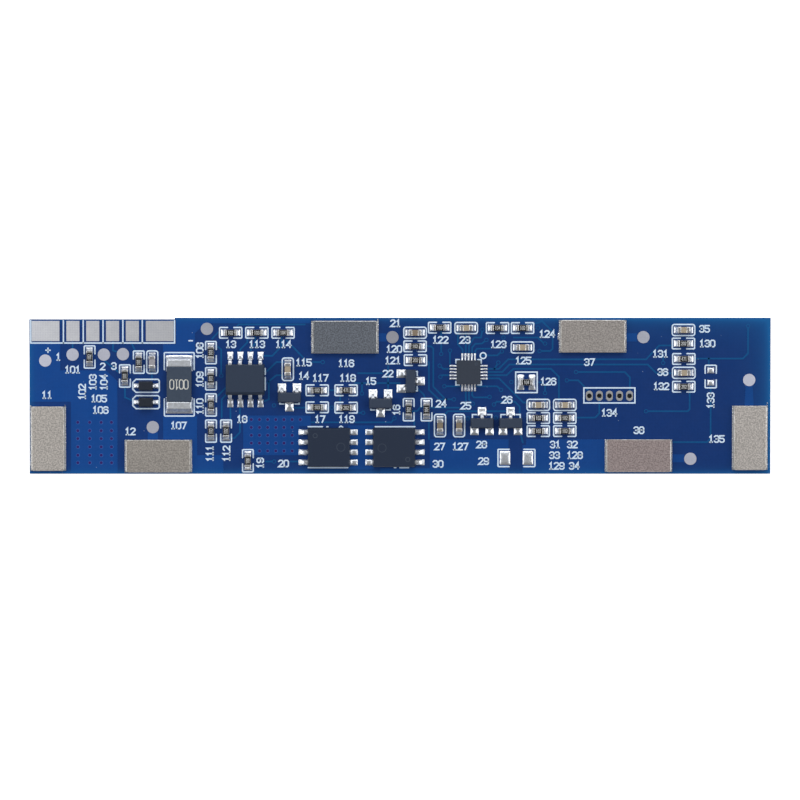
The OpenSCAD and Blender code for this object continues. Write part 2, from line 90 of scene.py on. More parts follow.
class Finish:
    """A material with one Principled shader. Its nodes are written as expressions on signals."""

    def __init__(self, name, constants):
        self.material = bpy.data.materials.new(name)
        self.material.use_nodes = True
        self.tree = self.material.node_tree
        self.shader = self.tree.nodes["Principled BSDF"]
        self.feed(self.shader, constants)

    def feed(self, node, values):
        """Gives each named or numbered socket of a node its value, or links a signal to it."""
        for key, value in values.items() if isinstance(values, dict) else enumerate(values):
            socket = node.inputs[key]
            if isinstance(value, Signal):
                self.tree.links.new(value.socket, socket)
            else:
                socket.default_value = (*value, 1) if socket.type == "RGBA" else value

    def node(self, kind, settings, values, output=0):
        """Adds a node, its settings first and then its sockets, and gives one of its outputs."""
        made = self.tree.nodes.new(kind)
        for name, value in settings.items():
            setattr(made, name, value)
        self.feed(made, values)
        return Signal(self, made.outputs[output])

    def place(self):
        return self.node("ShaderNodeTexCoord", {}, {}, "Object")

    def axes(self):
        """The place on the object as three signals, in metres."""
        place = self.place()
        return [self.node("ShaderNodeSeparateXYZ", {}, [place], axis) for axis in "XYZ"]

    def stretched(self, sizes):
        """The place, counted in lumps of the given size in millimetres along each axis."""
        scale = [1 / (size * MM) for size in sizes]
        return self.node("ShaderNodeMapping", {}, {"Vector": self.place(), "Scale": scale})

    def noise(self, size, detail=2.0):
        """Cloudy noise from 0 to 1 whose lumps are about size millimetres across."""
        sizes = [size] * 3 if np.isscalar(size) else size
        values = {"Vector": self.stretched(sizes), "Scale": 1.0, "Detail": detail}
        return self.node("ShaderNodeTexNoise", {}, values)

    def specks(self, spacing, radius):
        """1 in small round spots that lie about spacing apart, 0 elsewhere, in millimetres."""
        values = {"Vector": self.stretched([spacing] * 3), "Scale": 1.0}
        distance = self.node("ShaderNodeTexVoronoi", {}, values)
        return self.step(distance, radius / spacing, 0.5 * radius / spacing)

    def step(self, value, low, high):
        """A smooth step: 0 where value is at low, 1 where it is at high."""
        values = {"Value": value, "From Min": low, "From Max": high}
        return self.node("ShaderNodeMapRange", {"interpolation_type": "SMOOTHSTEP"}, values)

    def fade(self, distance, reach):
        """Falls as e to the power of minus distance over reach, both in metres."""
        power = {"operation": "POWER"}
        return self.node("ShaderNodeMath", power, [math.e, distance * (-1 / reach)])

    def weave(self, thread):
        """The glass cloth's threads, so many millimetres wide: the sum of sines along x and y."""
        x, y, _ = self.axes()
        turns = math.tau / (thread * MM)
        return (x * turns).math("SINE") + (y * turns).math("SINE")

    def mix(self, share, one, other):
        """The colour one where share is 0 and the colour other where it is 1."""
        return self.node("ShaderNodeMix", {"data_type": "RGBA"}, {0: share, 6: one, 7: other}, 2)

    def shades(self, share, colour, low, high):
        """The colour, from low times as bright where share is 0 to high times where it is 1."""
        dark, light = ([factor * part for part in colour] for factor in (low, high))
        return self.mix(share, dark, light)

    def bump(self, height, depth):
        """A normal tilted by a height signal that stands for depth millimetres."""
        return self.node("ShaderNodeBump", {}, {"Height": height, "Distance": depth * MM}, "Normal")

    def show(self, values):
        self.feed(self.shader, values)

    def colour(self):
        """The signal that feeds the base colour so far."""
        return Signal(self, self.shader.inputs["Base Color"].links[0].from_socket)


def solder_mask(name, colour, painted_glow_share=0.85):
    """Blue mask with a painted teal glow of light within a millimetre of the board's rim, over a
    wider band at the right end and along the upper edge towards the right; lighter towards the
    left, with the glass cloth's threads faintly through it, and dust."""
    finish = Finish(name, {"Specular IOR Level": 0.2})
    x, y, _ = finish.axes()
    gap = (BOARD_HIGH.x - abs(x)).math("MINIMUM", BOARD_HIGH.y - abs(y))
    # Painted glow: the rim, the right end and the upper edge are lightened towards teal in the
    # colour.
    rim = finish.fade(gap, 0.35 * MM) * painted_glow_share
    right_end = finish.fade(BOARD_HIGH.x - x, 1.5 * MM) * 0.5
    upper = finish.fade(BOARD_HIGH.y - y, 1.6 * MM) * finish.step(x, -0.01, BOARD_HIGH.x) * 0.45
    drift = finish.noise(9.0, 3.0) * 0.35 + finish.noise(0.3, 1.0) * 0.45
    tone = finish.weave(0.38) * 0.03 + drift + finish.step(x, 0.0, -0.036) * 0.35
    painted_glow = (rim + right_end + upper).math("MINIMUM", 1.0)
    blue = finish.mix(painted_glow, finish.shades(tone, colour, 0.84, 1.2), MASK_PAINTED_GLOW)
    dust = finish.specks(1.7, 0.05) + finish.specks(3.1, 0.07)
    finish.show({"Base Color": finish.mix(dust.math("MINIMUM", 0.7), blue, DUST),
                 "Roughness": 0.3 + finish.noise(1.5) * 0.2,
                 "Normal": finish.bump(finish.noise(0.5, 3.0), 0.006)})
    return finish


def board_finish():
    """Mask on both faces; on the side walls the cut glass cloth in layers, tan and brown."""
    finish = solder_mask("board_mask", MASK_ON_LAMINATE)
    masked = finish.colour()
    z = finish.axes()[2]
    middle = BOARD_HIGH.z / 2
    skin = finish.step(abs(z - middle), middle - 0.035 * MM, middle - 0.02 * MM)
    layers = finish.step(finish.noise([1.2, 1.2, 0.09], 3.0), 0.4, 0.62)
    cut = finish.mix(layers, LAMINATE, LAMINATE_DARK)
    finish.show({"Base Color": finish.mix(skin, cut, masked)})
    return finish


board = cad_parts["board"]
board.material_slots[0].material = board_finish().material

# ---- Copper under the mask ----
# Wide areas that carry the pack's current, narrow tracks, and plated holes, all etched in copper
# and covered by the same mask, which looks lighter on copper than on bare laminate.

COPPER_TOP = FACE + 0.03
TRACK_TOP = FACE + 0.022
TRACK_WIDTH = 0.2
MASK_ON_AREA = (0.0052, 0.056, 0.25)
MASK_ON_TRACK = (0.004, 0.084, 0.25)
# The dark colour of the disc over each stitching hole: painted shade of the hole under the mask.
MASK_HOLE_SHADE = (0.03, 0.014, 0.12)
COPPER_LOW = FACE - 0.01                # all copper and ink starts a little inside the laminate
SETBACK = 0.04                          # copper stops this far short of the rim
END_X, EDGE_Y = BOARD_HIGH.x / MM - SETBACK, BOARD_HIGH.y / MM - SETBACK
STEP_Y = EDGE_Y - 0.2                   # the edge beside the contacts is set back
HOLE_R, HOLE_RING = 0.18, (0.27, 0.17)  # a small plated hole, and its ring's two radii

AREAS = [
    [(-END_X, STEP_Y - 3.0), (-42.85, STEP_Y - 3.0), (-42.85, 3.2), (-37.1, 3.2), (-35.65, 1.85),
     (-35.65, -EDGE_Y), (-END_X, -EDGE_Y), (-END_X, -9.6), (-41.55, -9.6), (-41.55, -0.75),
     (-END_X, -0.75)],
    [(-29.9, 5.1), (-25.85, 5.1), (-25.85, 7.9), (-24.5, 9.15), (-11.25, 9.15), (-11.25, EDGE_Y),
     (-28.25, EDGE_Y), (-28.25, 6.5), (-29.9, 6.5)],
    [(-29.9, -2.6), (-25.6, -2.6), (-25.6, -7.5), (-22.3, -7.5), (-22.3, -EDGE_Y),
     (-29.9, -EDGE_Y)],
    [(-19.8, -2.8), (-19.5, -2.5), (-11.25, -2.5), (-11.25, -3.85), (-12.7, -3.85),
     (-12.7, -7.5), (-19.8, -7.5)],
    [(-6.6, -3.75), (-3.3, -3.75), (-3.3, -9.3), (-6.6, -9.3)],
    [(3.75, -5.5), (13.7, -5.5), (13.7, -EDGE_Y), (-2.5, -EDGE_Y), (-2.5, -9.15), (3.75, -9.15)],
    [(15.9, -5.5), (26.0, -5.5), (26.0, -EDGE_Y), (15.45, -EDGE_Y), (15.45, -6.2), (15.9, -6.2)],
    [(28.3, 6.85), (29.9, 6.85), (29.9, 7.9), (28.3, 7.9)],
    [(34.1, -8.4), (35.9, -8.4), (35.9, -7.4), (34.1, -7.4)],
    [(43.45, -1.3), (44.65, -1.3), (44.5, 1.3), (43.6, 1.3)],
    [(-2.95, 6.85), (-1.7, 6.85), (-1.7, 7.9), (-2.95, 7.9)],
    [(-31.85, -5.6), (-30.55, -5.6), (-30.55, -4.6), (-31.85, -4.6)],
]

TRACKS = [
    [(-20.7, 8.6), (-20.35, 9.0), (-12.0, 9.0)], [(-23.7, 7.2), (-22.85, 8.1)],
    [(-23.15, 6.3), (-22.55, 5.85), (-22.55, 2.6)],
    [(-20.15, 5.3), (-20.15, 5.85), (-19.25, 6.75), (-19.25, 7.4)],
    [(-18.8, 5.3), (-18.8, 6.0), (-18.25, 6.6), (-18.25, 7.4)],
    [(-17.6, 5.05), (-16.1, 5.05), (-14.95, 6.25), (-14.95, 7.4)],
    [(-14.3, 7.0), (-11.65, 4.25), (-9.75, 4.25)], [(-17.2, 2.7), (-15.6, 4.25), (-14.6, 4.25)],
    [(-17.2, 1.3), (-15.6, 2.6), (-14.6, 2.6)], [(-23.3, -0.3), (-21.9, 1.1)],
    [(-22.5, -2.7), (-22.5, -0.45), (-21.9, 0.2)], [(-21.4, -1.3), (-21.4, -3.4)],
    [(-20.2, -1.3), (-20.2, -4.6), (-20.9, -5.35), (-21.6, -5.35)],
    [(-17.3, -0.75), (-16.55, -0.45), (-16.55, 1.8)], [(-13.6, -1.5), (-11.6, -1.5)],
    [(-7.55, 0.3), (-7.55, -1.2)], [(-5.3, 2.85), (-2.25, 2.85)], [(-5.75, 1.6), (0.0, 1.6)],
    [(-4.8, 0.3), (-4.8, 1.6)], [(-5.9, -2.15), (-4.65, -2.15)],
    [(-11.2, -3.35), (-1.1, -3.35), (-0.7, -2.85)], [(-16.9, -8.3), (-15.9, -8.3)],
    [(-13.8, -8.3), (-12.3, -8.3)], [(-9.4, -1.5), (-8.6, -1.5), (-7.6, -1.5)],
    [(-9.9, 0.7), (-7.8, 0.7)],
    [(10.4, 3.4), (12.45, 3.4), (13.65, 4.6), (31.05, 4.6), (31.65, 5.25), (32.7, 6.35),
     (34.9, 6.35)],
    [(10.4, 3.0), (12.9, 3.0), (13.8, 3.95), (31.25, 3.95), (32.35, 2.85), (34.9, 2.85)],
    [(10.4, 2.6), (13.45, 2.6), (14.3, 3.4), (19.05, 3.4), (20.05, 2.4), (20.05, -1.1)],
    [(10.4, 2.2), (12.5, 2.2), (15.55, -0.85), (16.6, -0.85)],
    [(10.4, 5.1), (12.25, 5.1), (12.85, 5.6)],
    [(7.9, 5.0), (7.9, 5.85), (7.3, 6.5), (7.3, 8.3)], [(8.3, 5.0), (8.3, 8.3)],
    [(8.7, 5.0), (8.7, 6.3), (9.35, 7.35), (10.2, 7.35), (10.4, 8.35)],
    [(9.1, 5.0), (9.1, 6.1), (9.5, 6.55), (10.35, 6.6), (10.9, 7.05)],
    [(9.5, 5.0), (9.5, 5.7), (9.75, 5.95), (11.45, 5.95)],
    [(7.0, 3.8), (6.3, 3.8), (6.3, 5.7)], [(5.2, 8.3), (5.2, 5.3)],
    [(5.0, 3.8), (5.45, 3.4), (7.0, 3.4)], [(5.1, 2.4), (5.3, 2.6), (7.0, 2.6)],
    [(2.7, 6.25), (3.9, 6.25), (4.2, 5.95), (4.2, 1.15), (5.75, -0.45), (6.8, -0.45)],
    [(2.7, 4.45), (3.4, 4.45), (3.65, 4.2), (3.65, 0.75), (4.9, -0.45), (5.9, -0.45)],
    [(5.6, 1.2), (12.25, 1.2), (12.75, 0.75)], [(8.3, 1.0), (8.3, -0.9)],
    [(8.7, 1.0), (8.7, -0.45), (9.2, -1.0)], [(9.1, 1.0), (9.1, 0.05), (9.35, -0.2), (11.2, -0.2)],
    [(11.85, -1.1), (12.2, -0.75), (14.5, -0.75), (15.1, -1.35), (15.1, -4.4)],
    [(5.3, -2.75), (6.05, -1.95), (13.3, -1.95)], [(3.5, -1.5), (7.45, -1.5)],
    [(1.9, 1.2), (3.0, 0.15), (3.35, -0.9)], [(1.4, -2.0), (2.2, -1.9), (2.6, -1.4), (3.2, -1.4)],
    [(17.4, 1.7), (17.9, 1.7), (18.3, 1.3), (18.3, 0.35)],
    [(15.7, 8.9), (17.4, 9.2), (17.9, 9.45), (19.25, 8.1), (19.25, 5.95), (18.95, 5.65),
     (17.6, 5.65)],
    [(14.35, 7.35), (17.4, 7.35), (18.1, 6.65)], [(21.05, 1.95), (22.5, 1.95), (23.9, 0.5)],
    [(12.4, 4.2), (11.9, 3.4)], [(3.65, -2.4), (3.65, -5.5)], [(1.8, -2.6), (1.8, -3.9)],
    [(-1.5, 3.75), (-1.5, 0.3)], [(15.1, -4.4), (15.5, -5.9)], [(18.3, -0.3), (18.3, -1.0)],
    [(33.2, 4.15), (33.2, 5.25)], [(36.4, 4.7), (43.25, 4.7), (43.9, 5.35), (43.9, 8.8)],
    [(38.95, 4.7), (38.95, 3.2)], [(39.2, 1.6), (39.2, -5.4), (38.75, -5.85), (34.2, -5.85)],
    [(36.55, 1.2), (36.55, -1.7), (36.3, -1.95), (31.05, -1.95)],
    [(22.2, 3.0), (28.35, 3.0), (29.0, 2.35), (29.0, 0.3)],
    [(25.15, -0.3), (25.15, -2.2), (24.65, -2.75), (21.3, -2.75)],
    [(-44.0, 6.9), (-44.4, 5.2)], [(-41.3, 7.0), (-41.3, 5.2)], [(-38.0, 5.0), (-35.4, 2.9)],
    [(-36.2, 7.0), (-36.2, 5.7), (-35.2, 5.4)], [(-34.7, 1.8), (-34.7, -0.2), (-33.4, -0.75)],
    [(-31.3, 3.3), (-31.3, 2.0)], [(-34.0, 7.0), (-33.2, 5.2)],
]

SIGNAL_HOLES = [
    (-22.55, 2.55), (-9.75, 4.25), (-15.9, -1.2), (-4.8, 0.3), (-4.65, -2.15), (-15.9, -8.3),
    (-8.6, -1.5), (-0.7, -2.85), (10.4, 8.35), (10.9, 7.05), (12.85, 5.6), (12.4, 4.2),
    (6.3, 5.7), (5.2, 5.3), (5.0, 3.8), (5.1, 2.4), (6.8, -0.45), (12.75, 0.75), (9.2, -1.0),
    (11.3, -0.15), (11.85, -1.1), (5.6, 1.2), (14.05, 1.75), (12.1, -2.75), (8.55, -2.85),
    (17.4, 8.6), (17.6, 5.65), (18.3, 6.6), (18.3, 0.35), (21.05, 1.95), (22.2, 3.0),
    (13.05, 7.35), (31.05, -1.95), (33.2, 4.15), (43.9, 8.8),
]
STITCHES = [(x, y) for x in (-40.65, -39.15, -37.7, -36.4)
            for y in (-3.35, -4.4, -5.4, -6.45, -7.5, -8.45)]
STITCHES += [(-18.75 + 1.03 * column, -3.0 - 0.99 * row) for row in range(5) for column in range(7)
             if not (column == 6 and row > 0) and not (column == 0 and row == 4)]


class Form:
    """A surface in millimetres: its points, and its faces as one row of corners with the number
    of corners and the number of the finish of each face."""

    def __init__(self, points, corners, lengths, finishes):
        self.points = points
        self.corners = corners
        self.lengths = lengths
        self.finishes = finishes

    def placed(self, x=0.0, y=0.0, z=0.0, turn=0.0):
        """The same form turned about the vertical by so many degrees and then moved."""
        c, s = math.cos(math.radians(turn)), math.sin(math.radians(turn))
        turned = self.points @ np.array([[c, s, 0], [-s, c, 0], [0, 0, 1]])
        return Form(turned + [x, y, z], self.corners, self.lengths, self.finishes)


def shell(points, quads, caps=(), finish=0):
    """A form from quads, an array of four corners each, and caps, faces of any length."""
    quads = np.asarray(quads, int).reshape(-1, 4)
    corners = np.concatenate([quads.ravel(), *[np.asarray(cap, int) for cap in caps]])
    lengths = np.array([4] * len(quads) + [len(cap) for cap in caps])
    return Form(np.asarray(points, float).reshape(-1, 3), corners, lengths,
                np.full(len(lengths), finish))


def joined(forms):
    """Several forms as one, with their corners renumbered."""
    starts = np.cumsum([0] + [len(form.points) for form in forms])
    return Form(np.concatenate([form.points for form in forms]),
                np.concatenate([form.corners + start for form, start in zip(forms, starts)]),
                np.concatenate([form.lengths for form in forms]),
                np.concatenate([form.finishes for form in forms]))


def loft(rings, turned=False, loop=False, finish=0):
    """A skin over rings of points, an array of ring by point by axis, closed by a face on the
    first and the last ring, or joined end to end in a loop. turned swaps inside and outside."""
    count, size, _ = rings.shape
    i = np.arange(count if loop else count - 1)[:, None] * size
    after = (i + size) % (count * size)
    j = np.arange(size)[None, :]
    k = (j + 1) % size
    quads = np.stack([i + j, i + k, after + k, after + j], -1).reshape(-1, 4)
    caps = [] if loop else [np.arange(size)[::-1], np.arange(size) + (count - 1) * size]
    if turned:
        quads, caps = quads[:, ::-1], [cap[::-1] for cap in caps]
    return shell(rings, quads, caps, finish)


def prism(outline, low, high, finish=0):
    """An upright plate between two heights over an outline given counter-clockwise or clockwise:
    the sign of its area tells which, and a clockwise one is turned round."""
    flat = np.asarray(outline, float)
    x, y = flat.T
    if np.sum(x * np.roll(y, -1) - np.roll(x, -1) * y) < 0:
        flat = flat[::-1]
    rings = np.stack([np.column_stack([flat, np.full(len(flat), z)]) for z in (low, high)])
    return loft(rings, finish=finish)


def ribbon(route, width, low, high, loop=False, finish=0):
    """A strip of even width along a route of straight runs. Each point's cross-line follows the
    bisector of its two runs, lengthened by one over the cosine of half the bend, and each end is
    rounded by two narrower cross-lines."""
    line = np.asarray(route, float)
    ahead = np.roll(line, -1, 0) - line
    ahead /= np.linalg.norm(ahead, axis=1)[:, None]
    behind = np.roll(ahead, 1, 0)
    if not loop:
        behind[0], ahead[-1] = ahead[0], ahead[-2]
    middle = ahead + behind
    middle /= np.linalg.norm(middle, axis=1)[:, None]
    stretch = 1 / np.sum(middle * ahead, axis=1)
    across = np.column_stack([-middle[:, 1], middle[:, 0]]) * stretch[:, None] * width / 2
    if not loop:
        bend = np.radians([75, 40])[:, None]
        out, narrow = np.sin(bend) * width / 2, np.cos(bend)
        line = np.concatenate([line[0] - ahead[0] * out, line, line[-1] + ahead[-1] * out[::-1]])
        across = np.concatenate([across[0] * narrow, across, across[-1] * narrow[::-1]])
    left, right = line + across, line - across
    rails = [(left, low), (right, low), (right, high), (left, high)]
    rings = np.stack([np.column_stack([xy, np.full(len(xy), z)]) for xy, z in rails], 1)
    return loft(rings, turned=True, loop=loop, finish=finish)


def circle(x, y, radius, steps=20):
    angle = np.linspace(0, math.tau, steps, endpoint=False)
    return np.column_stack([x + radius * np.cos(angle), y + radius * np.sin(angle)])


def disc(x, y, radius, low, high, inner=0.0, steps=20, finish=0):
    """A round plate, or a flat ring where inner is given."""
    if inner == 0:
        return prism(circle(x, y, radius, steps), low, high, finish)
    middle = circle(x, y, (radius + inner) / 2, steps)
    return ribbon(middle, radius - inner, low, high, loop=True, finish=finish)


def piece(name, form, finishes, crease=35):
    """A mesh object of the form's faces, smooth where they meet at less than crease degrees."""
    mesh = bpy.data.meshes.new(name)
    mesh.vertices.add(len(form.points))
    mesh.vertices.foreach_set("co", (form.points * MM).astype(np.float32).ravel())
    mesh.loops.add(len(form.corners))
    mesh.loops.foreach_set("vertex_index", form.corners.astype(np.int32))
    mesh.polygons.add(len(form.lengths))
    starts = np.cumsum(form.lengths) - form.lengths
    mesh.polygons.foreach_set("loop_start", starts.astype(np.int32))
    mesh.polygons.foreach_set("material_index", form.finishes.astype(np.int32))
    for finish in finishes:
        mesh.materials.append(finish.material)
    mesh.update(calc_edges=True)
    mesh.shade_smooth()
    mesh.set_sharp_from_angle(angle=math.radians(crease))
    made = bpy.data.objects.new(name, mesh)
    bpy.context.scene.collection.objects.link(made)
    return made


areas = [prism(area, COPPER_LOW, COPPER_TOP) for area in AREAS]
copper_areas = piece("copper_areas", joined(areas), [solder_mask("area_mask", MASK_ON_AREA)])
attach(copper_areas, "root")

tracks = [ribbon(track, TRACK_WIDTH, COPPER_LOW, TRACK_TOP) for track in TRACKS]
for x, y in SIGNAL_HOLES:
    tracks.append(disc(x, y, HOLE_RING[0], COPPER_LOW, TRACK_TOP + 0.006, inner=HOLE_RING[1]))
    tracks.append(disc(x, y, HOLE_R, COPPER_LOW, TRACK_TOP + 0.003, finish=1))
copper_tracks = piece("copper_tracks", joined(tracks),
                      [solder_mask("track_mask", MASK_ON_TRACK),
                       solder_mask("small_hole_mask", MASK_ON_LAMINATE, 0.0)])
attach(copper_tracks, "root")

stitches = []
for x, y in STITCHES:
    stitches.append(disc(x, y, 0.25, COPPER_TOP - 0.01, COPPER_TOP + 0.004, inner=HOLE_RING[1]))
    # The disc's dark colour is painted shade of the hole.
    stitches.append(disc(x - 0.02, y, HOLE_R, COPPER_TOP - 0.01, COPPER_TOP + 0.006, finish=1))
stitching_holes = piece("stitching_holes", joined(stitches),
                        [solder_mask("hole_rim_mask", (0.03, 0.1, 0.36)),
                         solder_mask("hole_mask", MASK_HOLE_SHADE, 0.0)])
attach(stitching_holes, "root")

# ---- Bare plated contacts, test lands, tinned lands and the header's barrels ----
# Copper that the mask leaves open: etched on the laminate and plated matt grey, or tinned where a
# part is soldered. The header's holes are plated through, with an oval ring on each face.


def plated(name, colour, dark, weave, roughness, dull_and_shade=1.0):
    """Matt plating: fine grain, a slow drift, and faint threads of the glass cloth under it. It is
    painted darker at the board's middle, by the last argument's share of its brightness, and full
    at
    the ends: painted shade in its reflection of the lamps."""
    finish = Finish(name, {"Metallic": 1.0})
    grain = finish.noise(0.13, 2.0) * 0.6 + finish.noise(1.1) * 0.35
    tone = grain + finish.weave(0.31) * weave + 0.05
    # Painted shade: the metal's colour is darkened at the board's middle and full towards the ends.
    middle_shaded = finish.mix(tone, [dull_and_shade * part for part in dark], [dull_and_shade * part for part in colour])
    outward = (abs(finish.axes()[0]) * (1 / BOARD_HIGH.x)).math("POWER", 2.0)
    finish.show({"Base Color": finish.mix(outward, middle_shaded, finish.mix(tone, dark, colour)),
                 "Roughness": roughness + finish.noise(0.3) * 0.12,
                 "Normal": finish.bump(finish.noise(0.08), 0.004)})
    return finish


contact_plating = plated("contact_plating", (0.97, 0.98, 1.0), (0.6, 0.62, 0.7), 0.05, 0.5, 0.62)
disc_plating = plated("disc_plating", (0.85, 0.87, 1.0), (0.57, 0.59, 0.68), 0.02, 0.55, 0.56)
tinned_copper = plated("tinned_copper", (0.8, 0.82, 0.85), (0.5, 0.52, 0.55), 0.0, 0.3)
barrel_copper = plated("barrel_copper", (0.66, 0.66, 0.66), (0.44, 0.44, 0.44), 0.0, 0.42)
# Painted shade: the barrel's walls below the top face are coloured near-black, as the shade inside
# the hole.
on_ring = barrel_copper.step(barrel_copper.axes()[2], BOARD_HIGH.z, BOARD_HIGH.z + 0.04 * MM)
shaded_inside_or_ring = barrel_copper.mix(on_ring, (0.03, 0.04, 0.06), barrel_copper.colour())
barrel_copper.show({"Base Color": shaded_inside_or_ring})
for node, finish in [("edge_contacts", contact_plating), ("test_lands", disc_plating),
                     ("component_lands", tinned_copper), ("barrel_plating", barrel_copper)]:
    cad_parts[node].material_slots[0].material = finish.material

# ---- White print ----
# Epoxy ink screened on the mask: an outline round each part, the frame of the edge contacts, and
# numbers beside the parts, drawn with round-ended strokes. It follows the places of the CAD
# bodies, and so does every part below.

INK_TOP = COPPER_TOP + 0.015
INK_LINE = 0.17
INK_STROKE = 0.175
FIGURE_H = 0.8
FIGURE_PITCH = 0.68
FIGURES = {
    "0": [[(1, 0), (3, 0), (4, 1), (4, 5), (3, 6), (1, 6), (0, 5), (0, 1), (1, 0.02)]],
    "1": [[(0.8, 4.8), (2, 6), (2, 0)], [(0.8, 0), (3.2, 0)]],
    "2": [[(0, 5), (1, 6), (3, 6), (4, 5), (4, 4), (0, 0), (4, 0)]],
    "3": [[(0, 5), (1, 6), (3, 6), (4, 5), (4, 4), (3, 3), (4, 2), (4, 1), (3, 0), (1, 0), (0, 1)],
          [(1.5, 3), (3, 3)]],
    "4": [[(3, 0), (3, 6), (0, 2), (4, 2)]],
    "5": [[(4, 6), (0, 6), (0, 3.5), (3, 3.5), (4, 2.5), (4, 1), (3, 0), (1, 0), (0, 1)]],
    "6": [[(4, 5), (3, 6), (1, 6), (0, 5), (0, 1), (1, 0), (3, 0), (4, 1), (4, 2.5), (3, 3.5),
           (0.2, 3.5)]],
    "7": [[(0, 6), (4, 6), (1.5, 0)]],
    "8": [[(1, 3.2), (0, 2.3), (0, 1), (1, 0), (3, 0), (4, 1), (4, 2.3), (3, 3.2), (1, 3.2), (0, 4),
           (0, 5), (1, 6), (3, 6), (4, 5), (4, 4), (3, 3.2)]],
    "9": [[(0, 1), (1, 0), (3, 0), (4, 1), (4, 5), (3, 6), (1, 6), (0, 5), (0, 3.7), (1, 2.7),
           (3.8, 2.7)]],
    "+": [[(0, 3), (4, 3)], [(2, 1), (2, 5)]],
    "-": [[(0.3, 3), (3.7, 3)]],
}
# Where each number stands: the middle of it, how many figures it has, and its turn.
NUMBERS = [
    (-43.1, 4.9, 1, 0), (-41.3, 3.3, 3, 0), (-37.5, 3.7, 1, 0), (-36.1, 3.75, 1, 0),
    (-40.1, 0.5, 3, 90), (-38.75, 1.7, 3, 90), (-37.35, 1.7, 3, 90), (-38.0, -0.35, 3, 0),
    (-37.8, -1.8, 3, 0), (-44.55, 0.1, 2, 0), (-34.05, -4.5, 2, 0), (-27.95, -3.75, 3, 0),
    (-25.25, 5.7, 3, 90), (-25.25, 2.05, 3, 90), (-25.25, -1.35, 3, 90), (-24.0, -7.3, 3, 90),
    (-21.9, -7.3, 3, 90), (-21.35, 6.5, 2, 0), (-18.05, 6.5, 3, 0), (-14.7, 6.5, 3, 0),
    (-12.15, 4.2, 3, 0), (-6.8, 4.1, 3, 0), (-12.15, 2.5, 2, 0), (-10.05, 2.25, 3, 0),
    (-6.6, 2.25, 3, 0), (-3.7, 1.85, 2, 0), (-0.45, -1.8, 2, 90), (-10.1, -2.95, 2, 0),
    (-6.75, -2.95, 3, 0), (-19.95, -2.95, 2, 0), (-17.65, -8.5, 2, 90), (-14.7, -8.55, 2, 0),
    (-0.55, 9.15, 2, 0), (-0.75, 5.9, 3, 0), (-0.9, 4.45, 3, 0), (-1.5, 2.8, 2, 0),
    (5.1, 7.05, 3, 0), (8.2, 7.05, 2, 0), (12.4, 6.5, 3, 0), (18.55, 7.8, 3, 0),
    (15.55, 4.45, 3, 0), (18.7, 1.8, 3, 0), (5.2, -1.0, 2, 0), (8.3, -1.25, 2, 0),
    (13.5, -0.5, 2, 0), (5.0, -6.4, 2, 0), (7.6, -6.4, 3, 0), (10.3, -6.15, 2, 0),
    (10.55, -8.25, 2, 0), (4.8, -8.6, 2, 0), (19.6, -6.15, 2, 0), (21.75, -6.15, 2, 0),
    (19.5, -7.5, 2, 0), (22.05, -7.5, 3, 0), (19.75, -8.85, 3, 0), (22.0, -8.85, 2, 0),
    (38.4, 8.45, 2, 0), (38.75, 6.6, 3, 0), (32.85, 5.3, 3, 0), (33.15, 3.0, 2, 0),
    (32.95, 1.2, 3, 0), (39.2, -0.6, 3, 90), (23.9, 4.25, 2, 0), (26.4, -2.15, 3, 0),
    (30.15, -4.35, 2, 0), (39.95, -5.45, 3, 0),
]


def box_mm(node):
    """The lowest and the highest corner of a node's box, in millimetres."""
    return [np.array(corner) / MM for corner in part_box(node)]


def spot(node):
    """Middle of a node's box in millimetres, and its turn: 0 along the board, 90 across it."""
    low, high = box_mm(node)
    size = high - low
    return (low[0] + high[0]) / 2, (low[1] + high[1]) / 2, 0 if size[0] >= size[1] else 90


def numbered(stem, count):
    return [f"{stem}_{i + 1}" for i in range(count)]


RESISTORS = numbered("resistor", 22)
CAPACITORS = numbered("capacitor", 11)
TABS = numbered("cell_tab", 6)
CHIP_L, CHIP_W = 1.6, 0.8
LAND_TOP = FACE + 0.05


def in_group(node, turn, columns, rows):
    """Places of the equal chips of one node, spread evenly over its box."""
    low, high = box_mm(node)
    reach = np.array([CHIP_L, CHIP_W] if turn == 0 else [CHIP_W, CHIP_L]) / 2
    xs = np.linspace(low[0] + reach[0], high[0] - reach[0], columns)
    ys = np.linspace(high[1] - reach[1], low[1] + reach[1], rows)
    return [(x, y, turn) for y in ys for x in xs]


SPOTS = {node: [spot(node)] for node in RESISTORS + CAPACITORS + ["thermistor", "shunt"]}
SPOTS["gate_resistors"] = in_group("gate_resistors", 90, 1, 4)
SPOTS["sense_resistors"] = in_group("sense_resistors", 0, 2, 2)
# The turn of each part with three leads, and how far it slid towards two of them when soldered.
THREE_LEADS = {"transistor_1": (0, 0.0), "transistor_2": (0, 0.0), "transistor_3": (90, 0.0),
               "regulator": (180, 0.24), "dual_diode": (180, 0.24)}
DIODES = numbered("zener_diode", 2)
MOSFETS = {"discharge_mosfet": 0, "charge_mosfet": 180}
HEADER = spot("barrel_plating")
QUARTERS = (0, 90, 180, 270)
CORNER_STEPS = 4                        # points on each round corner
# The bare lands of a fuse and of a spare chip.
FUSE = (14.7, -7.85, 0)
SPARE = (39.2, 2.43, 90)


def at_place(routes, place):
    """Routes about the origin, turned and moved to a place of x, y and turn."""
    x, y, turn = place
    c, s = math.cos(math.radians(turn)), math.sin(math.radians(turn))
    return [np.array(route, float) @ np.array([[c, s], [-s, c]]) + [x, y] for route in routes]


